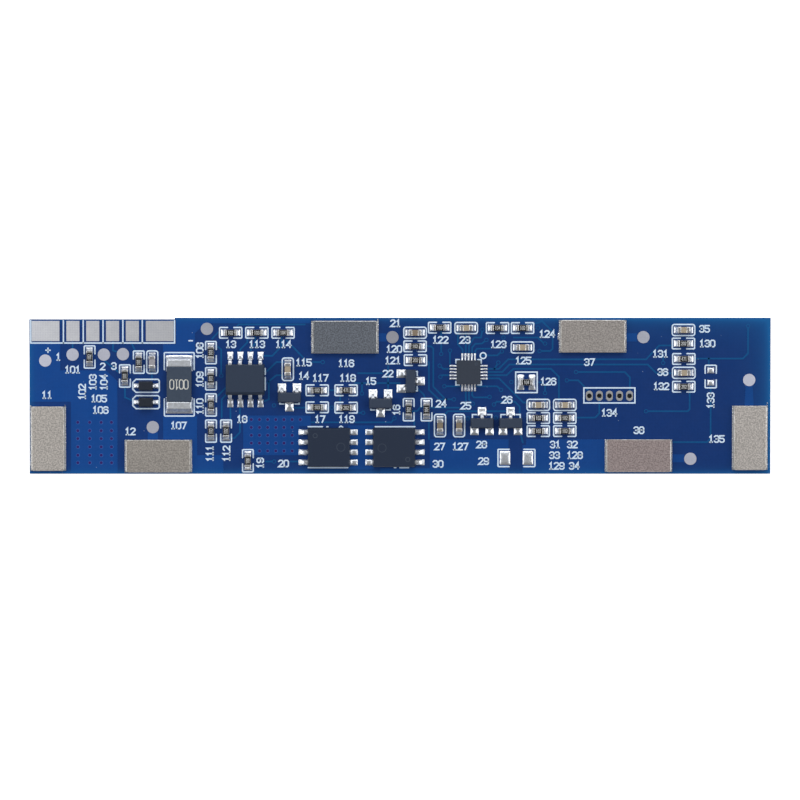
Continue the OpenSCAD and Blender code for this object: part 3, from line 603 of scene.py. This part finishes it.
def figures(text, place, height=FIGURE_H, pitch=FIGURE_PITCH, slim=1.0):
    """Routes of the strokes of a number whose middle is at a place: each figure stands on a grid
    four units wide and six high, and slim narrows it."""
    unit = np.array([slim * height / 6, height / 6])
    routes = []
    for i, figure in enumerate(text):
        shift = (i - (len(text) - 1) / 2) * pitch
        for stroke in FIGURES[figure]:
            routes.append((np.array(stroke, float) - [2, 3]) * unit + [shift, 0])
    return at_place(routes, place)


def outline(half_l, half_w, corner=0.0, steps=CORNER_STEPS):
    """A rectangle, its corners rounded to a radius by arcs, counter-clockwise."""
    if corner == 0:
        return np.array([(1, -1), (1, 1), (-1, 1), (-1, -1)]) * [half_l, half_w]
    quarter = np.arange(4)[:, None] * math.pi / 2
    angle = quarter + np.linspace(0, math.pi / 2, steps)
    sign = np.sign(np.column_stack([np.cos(quarter + 0.7), np.sin(quarter + 0.7)]))
    x = sign[:, :1] * (half_l - corner) + corner * np.cos(angle)
    y = sign[:, 1:] * (half_w - corner) + corner * np.sin(angle)
    return np.column_stack([x.ravel(), y.ravel()])


def brackets(half_l, half_w, leg):
    """Two facing brackets that close the ends of a part and leave its middle open."""
    cut = 0.08
    end = [(half_l - leg, -half_w), (half_l - cut, -half_w), (half_l, cut - half_w),
           (half_l, half_w - cut), (half_l - cut, half_w), (half_l - leg, half_w)]
    return [end, [(-x, -y) for x, y in end]]


open_lines, closed_lines = [], []
for node in RESISTORS + ["gate_resistors", "sense_resistors"]:
    for place in SPOTS[node]:
        open_lines += at_place(brackets(1.4, 0.67, 1.0), place)
for node in CAPACITORS:
    closed_lines += at_place([outline(1.42, 0.7, 0.28)], SPOTS[node][0])
closed_lines += at_place([outline(1.355, 1.295)], SPOTS["thermistor"][0])
closed_lines += at_place([outline(3.22, 0.95) + [0, 0.05]], HEADER)
open_lines += at_place(brackets(4.0, 1.88, 2.15), SPOTS["shunt"][0])
open_lines += at_place(brackets(2.33, 1.09, 1.4), FUSE)
open_lines += at_place(brackets(1.42, 0.7, 1.0), SPARE)
for node in DIODES:
    nose = [(1.5, -0.82), (1.67, -0.65), (1.67, 0.65), (1.5, 0.82), (-1.27, 0.82),
            (-1.67, 0.42), (-1.67, -0.42), (-1.27, -0.82)]
    closed_lines += at_place([nose], spot(node))
for node, (turn, slid) in THREE_LEADS.items():
    x, y, _ = spot(node)
    corner = np.array([(-1.22, -0.4), (-1.22, -0.83), (-0.68, -0.83)]) - [0, slid]
    open_lines += at_place([corner, corner * [-1, 1]], (x, y, turn))
x, y, _ = spot("controller")
for quarter in QUARTERS:
    open_lines += at_place([[(1.6, 1.15), (1.6, 1.6), (1.15, 1.6)]], (x, y, quarter))
closed_lines.append(circle(x + 1.84, y + 2.1, 0.37))
open_lines += [[(-17.0, 3.45), (-17.0, 2.7)], [(-17.0, 2.3), (-17.0, 0.75)]]
for node, turn in MOSFETS.items():
    x, y, _ = spot(node)
    sides = [[(-2.5, 2.6), (-0.7, 2.6)], [(-2.5, -2.57), (2.5, -2.57)], [(-0.15, 2.6), (0.0, 2.6)],
             [(1.45, 2.56), (1.65, 2.68), (1.85, 2.56)]]
    other = [[(-2.5, -2.6), (2.5, -2.6)], [(0.1, 2.57), (-0.1, 2.57)], [(-0.6, 2.57), (-1.7, 2.57)]]
    open_lines += at_place(sides if turn == 0 else other, (x, y, turn))
contact_low, contact_high = box_mm("edge_contacts")
frame_left, frame_right = contact_low[0] - 0.12, contact_high[0] + 0.12
frame_low, frame_high = contact_low[1] - 0.24, STEP_Y - 0.12
open_lines += [[(frame_left, frame_high), (frame_left, frame_low), (frame_right, frame_low),
                (frame_right, frame_high)]]
for x in (-42.45, -39.95, -37.45, -34.95, -32.5):
    open_lines.append([(x, frame_low), (x, frame_high)])
open_lines += figures("+", (-44.4, 5.75, 0)) + figures("-", (-26.4, 6.95, 0))

counters = {1: 1, 2: 11, 3: 101}
strokes = []
for x, y, length, turn in NUMBERS:
    strokes += figures(str(counters[length]), (x, y, turn))
    counters[length] += 1


def clouded(name, dark, light, lumps, roughness, grain=None, specular=0.5):
    """A finish of two colours in clouds. lumps is their size and detail. roughness is one value,
    or its least value, its spread and its lumps' size. grain is the size and depth of its bumps."""
    finish = Finish(name, {"Specular IOR Level": specular})
    if not np.isscalar(roughness):
        least, spread, size = roughness
        roughness = least + finish.noise(size) * spread
    finish.show({"Base Color": finish.mix(finish.noise(*lumps), dark, light),
                 "Roughness": roughness})
    if grain is not None:
        finish.show({"Normal": finish.bump(finish.noise(grain[0]), grain[1])})
    return finish


ink = clouded("white_ink", (0.58, 0.73, 0.95), (0.76, 0.9, 1.0), (0.25, 3.0), (0.45, 0.2, 0.4),
              (0.12, 0.006), 0.3)
INK_LOW = FACE - 0.005
print_lines = [ribbon(line, INK_LINE, INK_LOW, INK_TOP) for line in open_lines]
print_lines += [ribbon(line, INK_LINE, INK_LOW, INK_TOP, loop=True) for line in closed_lines]
part_outlines = piece("part_outlines", joined(print_lines), [ink])
print_strokes = [ribbon(line, INK_STROKE, INK_LOW, INK_TOP) for line in strokes]
part_numbers = piece("part_numbers", joined(print_strokes), [ink])
for made in (part_outlines, part_numbers):
    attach(made, "root")

# ---- Solder ----
# Reflowed solder: it wets each land to the rim, stands up in a low dome, and climbs whatever is
# soldered there in a hollow curve. It stands for the CAD solder, which is plain wedges.


def solder_finish(name, bright, dull_and_shade, roughness):
    """Bright tin: frosted in patches, with a slightly uneven skin."""
    finish = Finish(name, {"Metallic": 1.0})
    frost = finish.step(finish.noise(0.3, 2.0), 0.35, 0.7)
    finish.show({"Base Color": finish.mix(frost, bright, dull_and_shade),
                 "Roughness": roughness + frost * 0.15,
                 "Normal": finish.bump(finish.noise(0.35, 1.0), 0.02)})
    return finish


def pool(length, width, dome, post=None, climb=0.0, reach=0.3, cells=14):
    """Solder on a land, centred on the origin. Its height is a dome that dies out at the land's
    rim as 1 minus the eighth power of the way to it, plus a hollow curve up to climb that falls
    with the square of what is left of reach round the post, a rectangle x0, x1, y0, y1."""
    s = np.sin(np.linspace(-1, 1, cells) * math.pi / 2)
    u, v = np.meshgrid(s, s, indexing="ij")
    x, y = u * length / 2, v * width / 2
    rim = (1 - u ** 8) * (1 - v ** 8)
    z = dome * rim * (1 - 0.3 * (u ** 2 + v ** 2))
    if post is not None:
        x0, x1, y0, y1 = post
        away = np.hypot(np.clip(np.maximum(x0 - x, x - x1), 0, None),
                        np.clip(np.maximum(y0 - y, y - y1), 0, None))
        z = z + climb * rim * np.clip(1 - away / reach, 0, 1) ** 2
    index = np.arange(cells * cells).reshape(cells, cells)
    quads = np.stack([index[:-1, :-1], index[1:, :-1], index[1:, 1:], index[:-1, 1:]], -1)
    edge = np.concatenate([index[0, :-1], index[:-1, -1], index[-1, :0:-1], index[:0:-1, 0]])
    return shell(np.stack([x, y, z], -1), quads, [edge])


PITCH = 1.27                            # of the leads of the sense amplifier and of the mosfets
CONTROL_PITCH = 0.4
SOT_LEADS = [(-0.95, 0), (0.95, 0), (0, 180)]   # each lead's place along its side, and its turn
IN_FOUR = [i - 1.5 for i in range(4)]   # a row of four and one of five, counted in pitches
IN_FIVE = [i - 2 for i in range(5)]
solder = []


def wetted(place, form, turns=(0, 180)):
    """Adds a form to the solder at a place of x, y and turn, once for each further turn."""
    x, y, turn = place
    for more in turns:
        solder.append(form.placed(turn=more).placed(x, y, LAND_TOP, turn))


for node in RESISTORS + CAPACITORS + ["gate_resistors", "sense_resistors"]:
    climb = 0.42 if node in CAPACITORS else 0.3
    end = pool(0.7, 0.86, dome=0.05, post=(-0.6, -0.05, -0.4, 0.4), climb=climb, reach=0.42)
    for place in SPOTS[node]:
        wetted(place, end.placed(0.85))
end = pool(0.8, 1.93, dome=0.1, post=(-0.6, 0.08, -0.4, 0.4), climb=0.28, reach=0.4)
wetted(SPOTS["thermistor"][0], end.placed(0.715))
end = pool(2.05, 3.35, dome=0.06, post=(-2.0, 0.52, -1.6, 1.6), climb=0.42, reach=0.55, cells=24)
wetted(SPOTS["shunt"][0], end.placed(2.65))
for node, (turn, slid) in THREE_LEADS.items():
    x, y, _ = spot(node)
    for lead_x, side in SOT_LEADS:
        along = slid if side == 0 else -slid
        toe = (-0.21, 0.21, -0.4 + along, 0.05 + along)
        foot = pool(1.04, 1.12, dome=0.1, post=toe, climb=0.1, reach=0.3)
        wetted((x, y, turn), foot.placed(lead_x, 1.2 - along), [side])
for node in DIODES:
    foot = pool(0.75, 0.62, dome=0.12, post=(-0.5, 0.05, -0.17, 0.17), climb=0.1, reach=0.25)
    wetted(spot(node), foot.placed(1.2))
x, y, _ = spot("sense_ic")
foot = pool(0.74, 1.0, dome=0.1, post=(-0.23, 0.23, -0.5, 0.02), climb=0.12, reach=0.3)
for i in IN_FOUR:
    wetted((x, y, 0), foot.placed(i * PITCH, 3.0))
at_pin = pool(1.15, 0.72, dome=0.05, post=(0.0, 0.6, -0.2, 0.2), climb=0.2, reach=0.45)
at_finger = pool(1.0, 0.72, dome=0.1, post=(-0.6, -0.35, -0.2, 0.2), climb=0.1, reach=0.3)
for node, turn in MOSFETS.items():
    x, y, _ = spot(node)
    for i in IN_FOUR:
        wetted((x, y, turn), at_pin.placed(-3.12, i * PITCH), [0])
        wetted((x, y, turn), at_finger.placed(3.25, i * PITCH), [0])
x, y, _ = spot("controller")
foot = pool(0.22, 1.2, dome=0.05, post=(-0.11, 0.11, -0.7, -0.25), climb=0.16, reach=0.6)
for i in IN_FIVE:
    wetted((x, y, 0), foot.placed(i * CONTROL_PITCH, 1.75), QUARTERS)
wetted(FUSE, pool(1.3, 1.75, dome=0.12).placed(1.45))
wetted(SPARE, pool(0.76, 0.88, dome=0.18).placed(0.78))
bright_tin = solder_finish("reflowed_solder", (0.86, 0.89, 0.94), (0.66, 0.7, 0.76), 0.36)
solder_joints = piece("reflowed_solder", joined(solder), [bright_tin])
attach(solder_joints, "root")
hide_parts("solder_joints")

# ---- Nickel cell tabs ----
# Punched nickel plate, grained, with rolled bright edges, soldered down on its land. The strips
# of the cells are welded to these. No two catch the light alike, and each tab's tone is painted
# with the light it caught.

TAB_L, TAB_W, TAB_T, TAB_R = 8.1, 4.1, 0.5, 0.25
TAB_ROLL = 0.06
# Each tab's tone: the light it caught, painted into its colour.
TAB_LIT_TONES = {
    "cell_tab_1": (0.58, 0.545, 0.51), "cell_tab_2": (0.43, 0.4, 0.37),
    "cell_tab_3": (0.185, 0.205, 0.24), "cell_tab_4": (0.43, 0.4, 0.38),
    "cell_tab_5": (0.42, 0.35, 0.345), "cell_tab_6": (0.58, 0.545, 0.515),
}


def level(z, half_l, half_w, corner):
    """One ring of a body: a rounded rectangle at a height."""
    flat = outline(half_l, half_w, corner)
    return np.column_stack([flat, np.full(len(flat), z)])


def block(length, width, low, high, corner, roll, steps=5):
    """A body with round corners in plan whose upper edge rolls over on a quarter circle of radius
    roll. A last ring just inside the roll keeps the shading of the flat top flat."""
    angle = np.linspace(0, math.pi / 2, steps)
    rings = [level(low, length / 2, width / 2, corner)]
    for rise, inset in zip(roll * np.sin(angle), roll * (1 - np.cos(angle))):
        rings.append(level(high - roll + rise, length / 2 - inset, width / 2 - inset,
                           max(corner - inset, 0.2 * corner)))
    rings.append(level(high, length / 2 - roll - 0.03, width / 2 - roll - 0.03, 0.2 * corner))
    return loft(np.stack(rings))


def rimmed(form):
    """Gives the flat top of a block, its closing face and the last skin, the second finish."""
    size = 4 * CORNER_STEPS             # points in a ring
    finishes = form.finishes.copy()
    finishes[-size - 2:-2] = 1
    finishes[-1] = 1
    return Form(form.points, form.corners, form.lengths, finishes)


def nickel(name, tone):
    """Grained nickel: light and dark grains about 0.17 mm across, sparse painted glints, and pits
    painted as darker specks of shade.
    """
    finish = Finish(name, {"Metallic": 0.85})
    grain = finish.noise(0.17, 1.0)
    share = finish.step(grain, 0.3, 0.7) * 0.8 + finish.noise(2.5) * 0.2
    # Painted shade: pits are specks darkened to 0.68 of the tone.
    pit_shade = [0.68 * part for part in tone]
    with_pit_shade = finish.mix(finish.specks(0.9, 0.07), finish.shades(share, tone, 0.68, 1.32), pit_shade)
    # Painted glints: sparse specks lightened to near white.
    finish.show({"Base Color": finish.mix(finish.specks(1.3, 0.06), with_pit_shade, (0.8, 0.78, 0.75)),
                 "Roughness": 0.42 + grain * 0.2,
                 "Normal": finish.bump(finish.noise(0.13, 2.0), 0.012)})
    return finish


rolled_edge = solder_finish("rolled_edge", (0.8, 0.79, 0.76), (0.5, 0.47, 0.42), 0.3)
for node in TABS:
    x, y, turn = spot(node)
    plate = rimmed(block(TAB_L, TAB_W, LAND_TOP, LAND_TOP + TAB_T, TAB_R, TAB_ROLL))
    tab = piece(node + "_plate", plate.placed(x, y, 0, turn),
                [rolled_edge, nickel(node + "_nickel", TAB_LIT_TONES[node])])
    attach(tab, "root")
    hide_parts(node)

# The solder that wets the sides of the tabs' lands runs out in small bright beads, and beside the
# fourth tab in one long one.
rng = np.random.default_rng(5)
beads = [pool(0.25, 0.9, dome=0.1, cells=9).placed(20.02, 7.5, LAND_TOP)]
for node in TABS:
    x, y, turn = spot(node)
    half_x, half_y = (TAB_L / 2, TAB_W / 2) if turn == 0 else (TAB_W / 2, TAB_L / 2)
    for side in (-1, 1):
        along = np.cumsum(rng.uniform(0.2, 0.42, int(half_y * 2 / 0.31)))
        for offset, radius in zip(along, rng.uniform(0.045, 0.085, len(along))):
            drop = pool(2 * radius, 3 * radius, dome=radius, cells=7)
            away = half_x + rng.uniform(0.1, 0.16)
            beads.append(drop.placed(x + side * away, y - half_y + offset, LAND_TOP))
tab_solder = piece("tab_solder_beads", joined(beads),
                   [solder_finish("bead_solder", (0.95, 0.96, 1.0), (0.7, 0.72, 0.75), 0.15)])
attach(tab_solder, "root")

# ---- Chip resistors and capacitors ----
# A resistor is a white ceramic slab with a black glass coat printed with its value; a capacitor
# is a solid block of layered ceramic. Both have tinned end caps that wrap all four sides.

RESISTOR_H, CAPACITOR_H = 0.45, 0.8
RESISTOR_CAP, CAPACITOR_CAP = 0.31, 0.46   # how far the end caps reach in
CAP_FINISH = solder_finish("end_cap", (0.84, 0.84, 0.85), (0.42, 0.43, 0.45), 0.28)
COAT_FINISH = clouded("black_coat", (0.003, 0.0035, 0.005), (0.012, 0.013, 0.017), (0.2,),
                      (0.3, 0.25, 0.3), specular=0.4)
ALUMINA = clouded("white_alumina", (0.5, 0.5, 0.48), (0.75, 0.75, 0.72), (0.1,), 0.6)
VALUE_INK = clouded("value_ink", (0.5, 0.52, 0.54), (0.85, 0.87, 0.88), (0.06,), 0.5)


def end_caps(high, cap, roll=0.06):
    """Both end caps, each a block with rolled edges."""
    one = block(cap, CHIP_W, LAND_TOP, high, 0.05, roll, 4).placed(CHIP_L / 2 - cap / 2)
    return [one, one.placed(turn=180)]


def grouped(*groups):
    """Groups of forms as one form, in which every face has its group's number as its finish."""
    forms = [joined(group) for group in groups]
    numbers = [np.full(len(form.lengths), number) for number, form in enumerate(forms)]
    whole = joined(forms)
    return Form(whole.points, whole.corners, whole.lengths, np.concatenate(numbers))


def value_print(text, height, pitch, line, top, slim, turn=0):
    """A printed value as thin strips on a flat top."""
    return [ribbon(route, line, top - 0.01, top + 0.006)
            for route in figures(text, (0, 0, turn), height, pitch, slim)]


def chip_resistor(text):
    """A chip at the origin: its end caps, slab, coat and printed value, each in its own finish."""
    high = LAND_TOP + RESISTOR_H
    coat_top = high - 0.012
    coat_l = CHIP_L - 2 * RESISTOR_CAP + 0.06
    slab = block(CHIP_L - 0.06, CHIP_W - 0.06, LAND_TOP + 0.03, high - 0.05, 0.02, 0.01, 2)
    coat = block(coat_l, CHIP_W - 0.08, high - 0.1, coat_top, 0.05, 0.035, 4)
    value = value_print(text, height=0.4, pitch=0.23, line=0.05, top=coat_top, slim=0.58)
    return grouped(end_caps(high, RESISTOR_CAP), [slab], [coat], value)


resistor_finishes = [CAP_FINISH, ALUMINA, COAT_FINISH, VALUE_INK]
VALUES = ["102", "101", "101", "102", "102", "103", "104", "106", "102", "471", "103", "202",
          "102", "202", "103", "104", "103", "102", "104", "202", "471", "202", "103", "102", "104"]
for node, text in zip(RESISTORS + ["gate_resistors", "sense_resistors", "thermistor"], VALUES):
    chips = [chip_resistor(text).placed(x, y, 0, turn) for x, y, turn in SPOTS[node]]
    chip = piece(node + ("_chip" if node in RESISTORS else "_chips"), joined(chips),
                 resistor_finishes)
    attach(chip, "root")
    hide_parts(node)


def around(tone, spread):
    """A darker and a lighter colour, each off the tone by that share of it."""
    return [[factor * part for part in tone] for factor in (1 - spread, 1 + spread)]


def fired_ceramic(name, tone):
    return clouded(name, *around(tone, 0.2), (0.15, 3.0), (0.4, 0.2, 0.1), (0.05, 0.003), 0.35)


CERAMICS = dict.fromkeys(CAPACITORS, fired_ceramic("tan_ceramic", (0.4, 0.34, 0.255)))
UMBER = fired_ceramic("umber_ceramic", (0.21, 0.175, 0.13))
CERAMICS |= {"capacitor_1": fired_ceramic("grey_ceramic", (0.34, 0.33, 0.36)),
             "capacitor_3": fired_ceramic("brown_ceramic", (0.24, 0.19, 0.14)),
             "capacitor_6": UMBER, "capacitor_7": UMBER}
for node in CAPACITORS:
    x, y, turn = SPOTS[node][0]
    high = LAND_TOP + CAPACITOR_H
    ceramic = block(CHIP_L - 0.1, CHIP_W - 0.04, LAND_TOP + 0.02, high - 0.02, 0.04, 0.05, 4)
    form = grouped(end_caps(high, CAPACITOR_CAP, 0.08), [ceramic]).placed(x, y, 0, turn)
    chip = piece(node + "_chip", form, [CAP_FINISH, CERAMICS[node]])
    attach(chip, "root")
    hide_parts(node)

# ---- Current shunt ----
# A low-value resistor big enough for the pack's current: a metal strip in dark epoxy with broad
# end caps. Its value is printed on it, upside down as it was placed.

SHUNT_L, SHUNT_W, SHUNT_H, SHUNT_CAP = 6.35, 3.15, 0.6, 1.0
shunt_epoxy = clouded("shunt_epoxy", (0.034, 0.052, 0.085), (0.052, 0.075, 0.115), (0.3, 3.0),
                      (0.5, 0.15, 0.2), (0.12, 0.006), 0.35)
shunt_cap = solder_finish("shunt_cap", (0.88, 0.92, 0.97), (0.7, 0.74, 0.8), 0.38)
shunt_ink = clouded("shunt_ink", (0.6, 0.6, 0.56), (0.8, 0.8, 0.75), (0.1,), 0.5)
x, y, turn = SPOTS["shunt"][0]
high = LAND_TOP + SHUNT_H
cap = block(SHUNT_CAP, SHUNT_W, LAND_TOP, high - 0.04, 0.15, 0.14)
caps = [cap.placed(side * (SHUNT_L - SHUNT_CAP) / 2) for side in (-1, 1)]
coat = block(SHUNT_L - 2 * SHUNT_CAP + 0.1, SHUNT_W - 0.04, LAND_TOP + 0.05, high, 0.06, 0.06)
value = value_print("0010", height=1.15, pitch=0.6, line=0.11, top=high, slim=0.65, turn=90)
form = grouped(caps, [coat], value).placed(x, y, 0, turn)
shunt = piece("shunt_body", form, [shunt_cap, shunt_epoxy, shunt_ink])
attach(shunt, "root")
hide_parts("shunt")

# ---- Packages with leads ----
# Moulded epoxy round a stamped copper frame. The walls lean in above and below the mould's parting
# line, and the tinned leads come out at it and bend down to their lands.


def moulded_epoxy(name, tone):
    """Dark epoxy with the fine matt grain of the mould."""
    return clouded(name, *around(tone, 0.15), (0.12, 3.0), (0.45, 0.15, 0.15), (0.06, 0.006), 0.35)


def moulding(length, width, low, high, draft, roll=0.05, corner=0.06, steps=3, bevel=0.0):
    """A moulded body: widest at the parting line half way up, with its upper edge rolled, and cut
    back at 45 degrees along its -Y side where bevel is given: the top rings move away from that
    side by bevel, and by less the nearer they are to the other one."""
    middle = (low + high) / 2
    angle = np.linspace(0, math.pi / 2, steps)
    rings = [level(low, length / 2 - draft, width / 2 - draft, corner),
             level(middle - 0.02, length / 2, width / 2, corner),
             level(middle + 0.02, length / 2, width / 2, corner)]
    if bevel > 0:
        rings.append(level(high - bevel, length / 2 - draft, width / 2 - draft, corner))
    insets = [*(roll * (1 - np.cos(angle))), roll + 0.03]
    heights = [*(high - roll + roll * np.sin(angle)), high]
    for z, inset in zip(heights, insets):
        ring = level(z, length / 2 - draft - inset, width / 2 - draft - inset,
                     max(corner - inset, 0.02))
        ring[:, 1] += bevel * (0.5 - ring[:, 1] / width)
        rings.append(ring)
    return loft(np.stack(rings))


def gull_wing(height, shoulder, reach, thick, radius, width, steps=5):
    """A lead along +Y from inside the body: level at height, down a bend, and out along the land.
    Both bends are quarter circles of the strip's middle line."""
    r = radius + thick / 2
    foot = thick / 2
    turn = np.linspace(0, math.pi / 2, steps)
    over = np.column_stack([shoulder + r * np.sin(turn), height - r + r * np.cos(turn)])
    under = np.column_stack([shoulder + 2 * r - r * np.cos(turn), foot + r - r * np.sin(turn)])
    line = np.concatenate([[(-0.15, height)], over, under, [(reach, foot)]])
    ahead = np.gradient(line, axis=0)
    ahead /= np.linalg.norm(ahead, axis=1)[:, None]
    normal = np.column_stack([-ahead[:, 1], ahead[:, 0]])
    section = outline(width / 2, thick / 2, 0.3 * thick, 2)
    yz = line[:, None, :] + section[None, :, 1:] * normal[:, None, :]
    x = np.broadcast_to(section[None, :, :1], yz[..., :1].shape)
    return loft(np.concatenate([x, yz], -1), turned=True)


LEAD_FINISH = solder_finish("tinned_lead", (0.84, 0.87, 0.92), (0.62, 0.65, 0.7), 0.34)
SOT_EPOXY = moulded_epoxy("small_package_epoxy", (0.032, 0.048, 0.084))
for node, (turn, _) in THREE_LEADS.items():
    x, y, _ = spot(node)
    body = moulding(2.92, 1.3, LAND_TOP + 0.06, LAND_TOP + 1.06, draft=0.1)
    lead = gull_wing(height=0.62, shoulder=0.1, reach=0.6, thick=0.12, radius=0.06, width=0.42)
    leads = [lead.placed(lead_x, 0.65, LAND_TOP).placed(turn=side) for lead_x, side in SOT_LEADS]
    form = grouped([body], leads).placed(x, y, 0, turn)
    package = piece(node + "_package", form, [SOT_EPOXY, LEAD_FINISH])
    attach(package, "root")
    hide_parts(node)

DIODE_EPOXY = moulded_epoxy("diode_epoxy", (0.012, 0.017, 0.03))
for node in DIODES:
    x, y, _ = spot(node)
    body = moulding(1.8, 1.2, LAND_TOP + 0.04, LAND_TOP + 0.99, draft=0.1)
    lead = gull_wing(height=0.575, shoulder=0.05, reach=0.35, thick=0.12, radius=0.04, width=0.34)
    leads = [lead.placed(0, 0.9, LAND_TOP).placed(turn=side) for side in (90, -90)]
    form = grouped([body], leads).placed(x, y)
    package = piece(node + "_package", form, [DIODE_EPOXY, LEAD_FINISH])
    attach(package, "root")
    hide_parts(node)

# The sense amplifier has eight leads and a round dimple in the mould by its first lead.
SOIC_EPOXY = moulded_epoxy("sense_ic_epoxy", (0.024, 0.04, 0.074))
FADED_MARK = moulded_epoxy("faded_mark", (0.045, 0.062, 0.095))
x, y, _ = spot("sense_ic")
top = LAND_TOP + 1.57
body = moulding(4.9, 3.9, LAND_TOP + 0.12, top, draft=0.1, roll=0.07, bevel=0.25)
lead = gull_wing(height=0.945, shoulder=0.2, reach=1.05, thick=0.2, radius=0.1, width=0.46)
leads = [lead.placed(i * PITCH, 1.95, LAND_TOP).placed(turn=side)
         for side in (0, 180) for i in IN_FOUR]
dimple = disc(-1.75, -0.95, 0.3, top - 0.01, top - 0.002, inner=0.2)
form = grouped([body], leads, [dimple]).placed(x, y)
sense_ic = piece("sense_ic_package", form, [SOIC_EPOXY, LEAD_FINISH, FADED_MARK])
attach(sense_ic, "root")
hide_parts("sense_ic")

# ---- Power mosfets ----
# Flat packages that switch the pack's current. Four pins stand out on one side and the drain's
# four fingers on the other; the mould left a ring by the first pin and an ejector's circle.

MOSFET_EPOXY = moulded_epoxy("mosfet_epoxy", (0.013, 0.024, 0.052))
OFF_CENTRE = 0.125                      # the pins stand out further than the fingers
pin = block(0.7, 0.41, LAND_TOP, LAND_TOP + 0.25, 0.03, 0.05, 3)
finger = block(0.6, 0.41, LAND_TOP, LAND_TOP + 0.25, 0.03, 0.05, 3)
for node, turn in MOSFETS.items():
    x, y, _ = spot(node)
    top = LAND_TOP + 1.0
    body = moulding(5.35, 4.95, LAND_TOP, top, draft=0.1)
    metal = []
    for i in IN_FOUR:
        metal += [pin.placed(-2.725, i * PITCH), finger.placed(2.525, i * PITCH)]
    marks = [disc(-1.72, 1.5, 0.31, top - 0.01, top + 0.006, inner=0.22),
             disc(1.52, 0.05, 0.55, top - 0.01, top + 0.004, inner=0.49, steps=28)]
    form = grouped([body], metal, marks).placed(OFF_CENTRE).placed(x, y, 0, turn)
    package = piece(node + "_package", form, [MOSFET_EPOXY, LEAD_FINISH, FADED_MARK])
    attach(package, "root")
    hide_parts(node)

# ---- Controller ----
# A square leadless package sawn from a moulded strip, so its walls are upright and its five
# contacts a side are flush with them; the solder climbs their sawn ends.

CONTROL_EPOXY = moulded_epoxy("controller_epoxy", (0.032, 0.043, 0.066))
x, y, _ = spot("controller")
body = block(3.0, 3.0, LAND_TOP, LAND_TOP + 0.8, 0.02, 0.03, 3)
contact = block(0.22, 0.06, LAND_TOP, LAND_TOP + 0.2, 0.01, 0.02, 2)
contacts = [contact.placed(i * CONTROL_PITCH, 1.49).placed(turn=quarter)
            for quarter in QUARTERS for i in IN_FIVE]
mark = disc(0.95, 1.05, 0.2, LAND_TOP + 0.79, LAND_TOP + 0.806, inner=0.1, steps=16)
form = grouped([body], contacts, [mark]).placed(x, y)
controller = piece("controller_package", form, [CONTROL_EPOXY, LEAD_FINISH, FADED_MARK])
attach(controller, "root")
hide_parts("controller")

# ---- Studio ----
# The board lies on a white table under soft lamps, and the camera looks down on it from a little
# behind the contacts' edge.

WORLD_SHARE = 0.18
TABLE_HALF, TABLE_Z = 3.0, -2e-5
floor_mesh = bpy.data.meshes.new("floor")
floor_mesh.from_pydata([(x * TABLE_HALF, y * TABLE_HALF, TABLE_Z)
                        for x, y in ((-1, -1), (1, -1), (1, 1), (-1, 1))], [], [(0, 1, 2, 3)])
floor = bpy.data.objects.new("floor", floor_mesh)
bpy.context.scene.collection.objects.link(floor)
table = Finish("white_table", {"Base Color": (0.85, 0.85, 0.85), "Roughness": 0.9,
                               "Specular IOR Level": 0.0, "Emission Strength": 1.0})
rays = [table.node("ShaderNodeLightPath", {}, {}, name)
        for name in ("Is Camera Ray", "Is Glossy Ray", "Is Transmission Ray")]
seen = (rays[0] + rays[1] + rays[2]).math("MINIMUM", 1.0)
x, y, _ = table.axes()
beyond = (abs(x) - BOARD_HIGH.x).math("MAXIMUM", abs(y) - BOARD_HIGH.y)
uncovered = beyond.math("GREATER_THAN", -0.3 * MM)
table.show({"Emission Color": table.mix(seen * uncovered, (0, 0, 0), (0.8, 0.8, 0.8))})
floor_mesh.materials.append(table.material)

world = bpy.data.worlds.new("studio")
world.use_nodes = True
sky = world.node_tree.nodes["Background"].inputs
sky["Color"].default_value = (1, 1, 1, 1)
sky["Strength"].default_value = WORLD_SHARE
bpy.context.scene.world = world


def lamp(name, place, size, share):
    """A soft lamp aimed at the board that gives a flat white top this share of full brightness:
    its power is share times pi squared times distance squared over the cosine of its angle."""
    distance = math.dist(place, (0, 0, 0))
    data = bpy.data.lights.new(name, "AREA")
    data.shape = "RECTANGLE"
    data.size, data.size_y = size
    data.energy = share * math.pi ** 2 * distance ** 2 / (place[2] / distance)
    made = bpy.data.objects.new(name, data)
    made.location = place
    direction = np.array(place) / distance
    made.rotation_euler = (math.acos(direction[2]), 0, math.atan2(direction[0], -direction[1]))
    bpy.context.scene.collection.objects.link(made)


lamp("back_lamp", (0.0, 0.42, 0.42), (0.7, 0.3), 0.4)
lamp("left_lamp", (-0.5, 0.0, 0.35), (0.3, 0.5), 0.22)
lamp("right_lamp", (0.5, 0.0, 0.35), (0.3, 0.5), 0.22)

DISTANCE = 0.45                         # from the camera to the board
TILT = math.radians(1.5)
VIEW_WIDTH = 0.10095                    # how much of the board's plane the view spans
aim = (0.0, -0.00053, BOARD_HIGH.z)
camera_data = bpy.data.cameras.new("camera")
camera_data.sensor_width = 36
camera_data.lens = 36 * DISTANCE / VIEW_WIDTH
camera_data.clip_start, camera_data.clip_end = 0.01, 20
camera = bpy.data.objects.new("camera", camera_data)
camera.location = (aim[0], aim[1] + DISTANCE * math.sin(TILT), aim[2] + DISTANCE * math.cos(TILT))
camera.rotation_euler = (-TILT, 0, 0)
bpy.context.scene.collection.objects.link(camera)
bpy.context.scene.camera = camera
bpy.context.scene.view_settings.view_transform = "Standard"
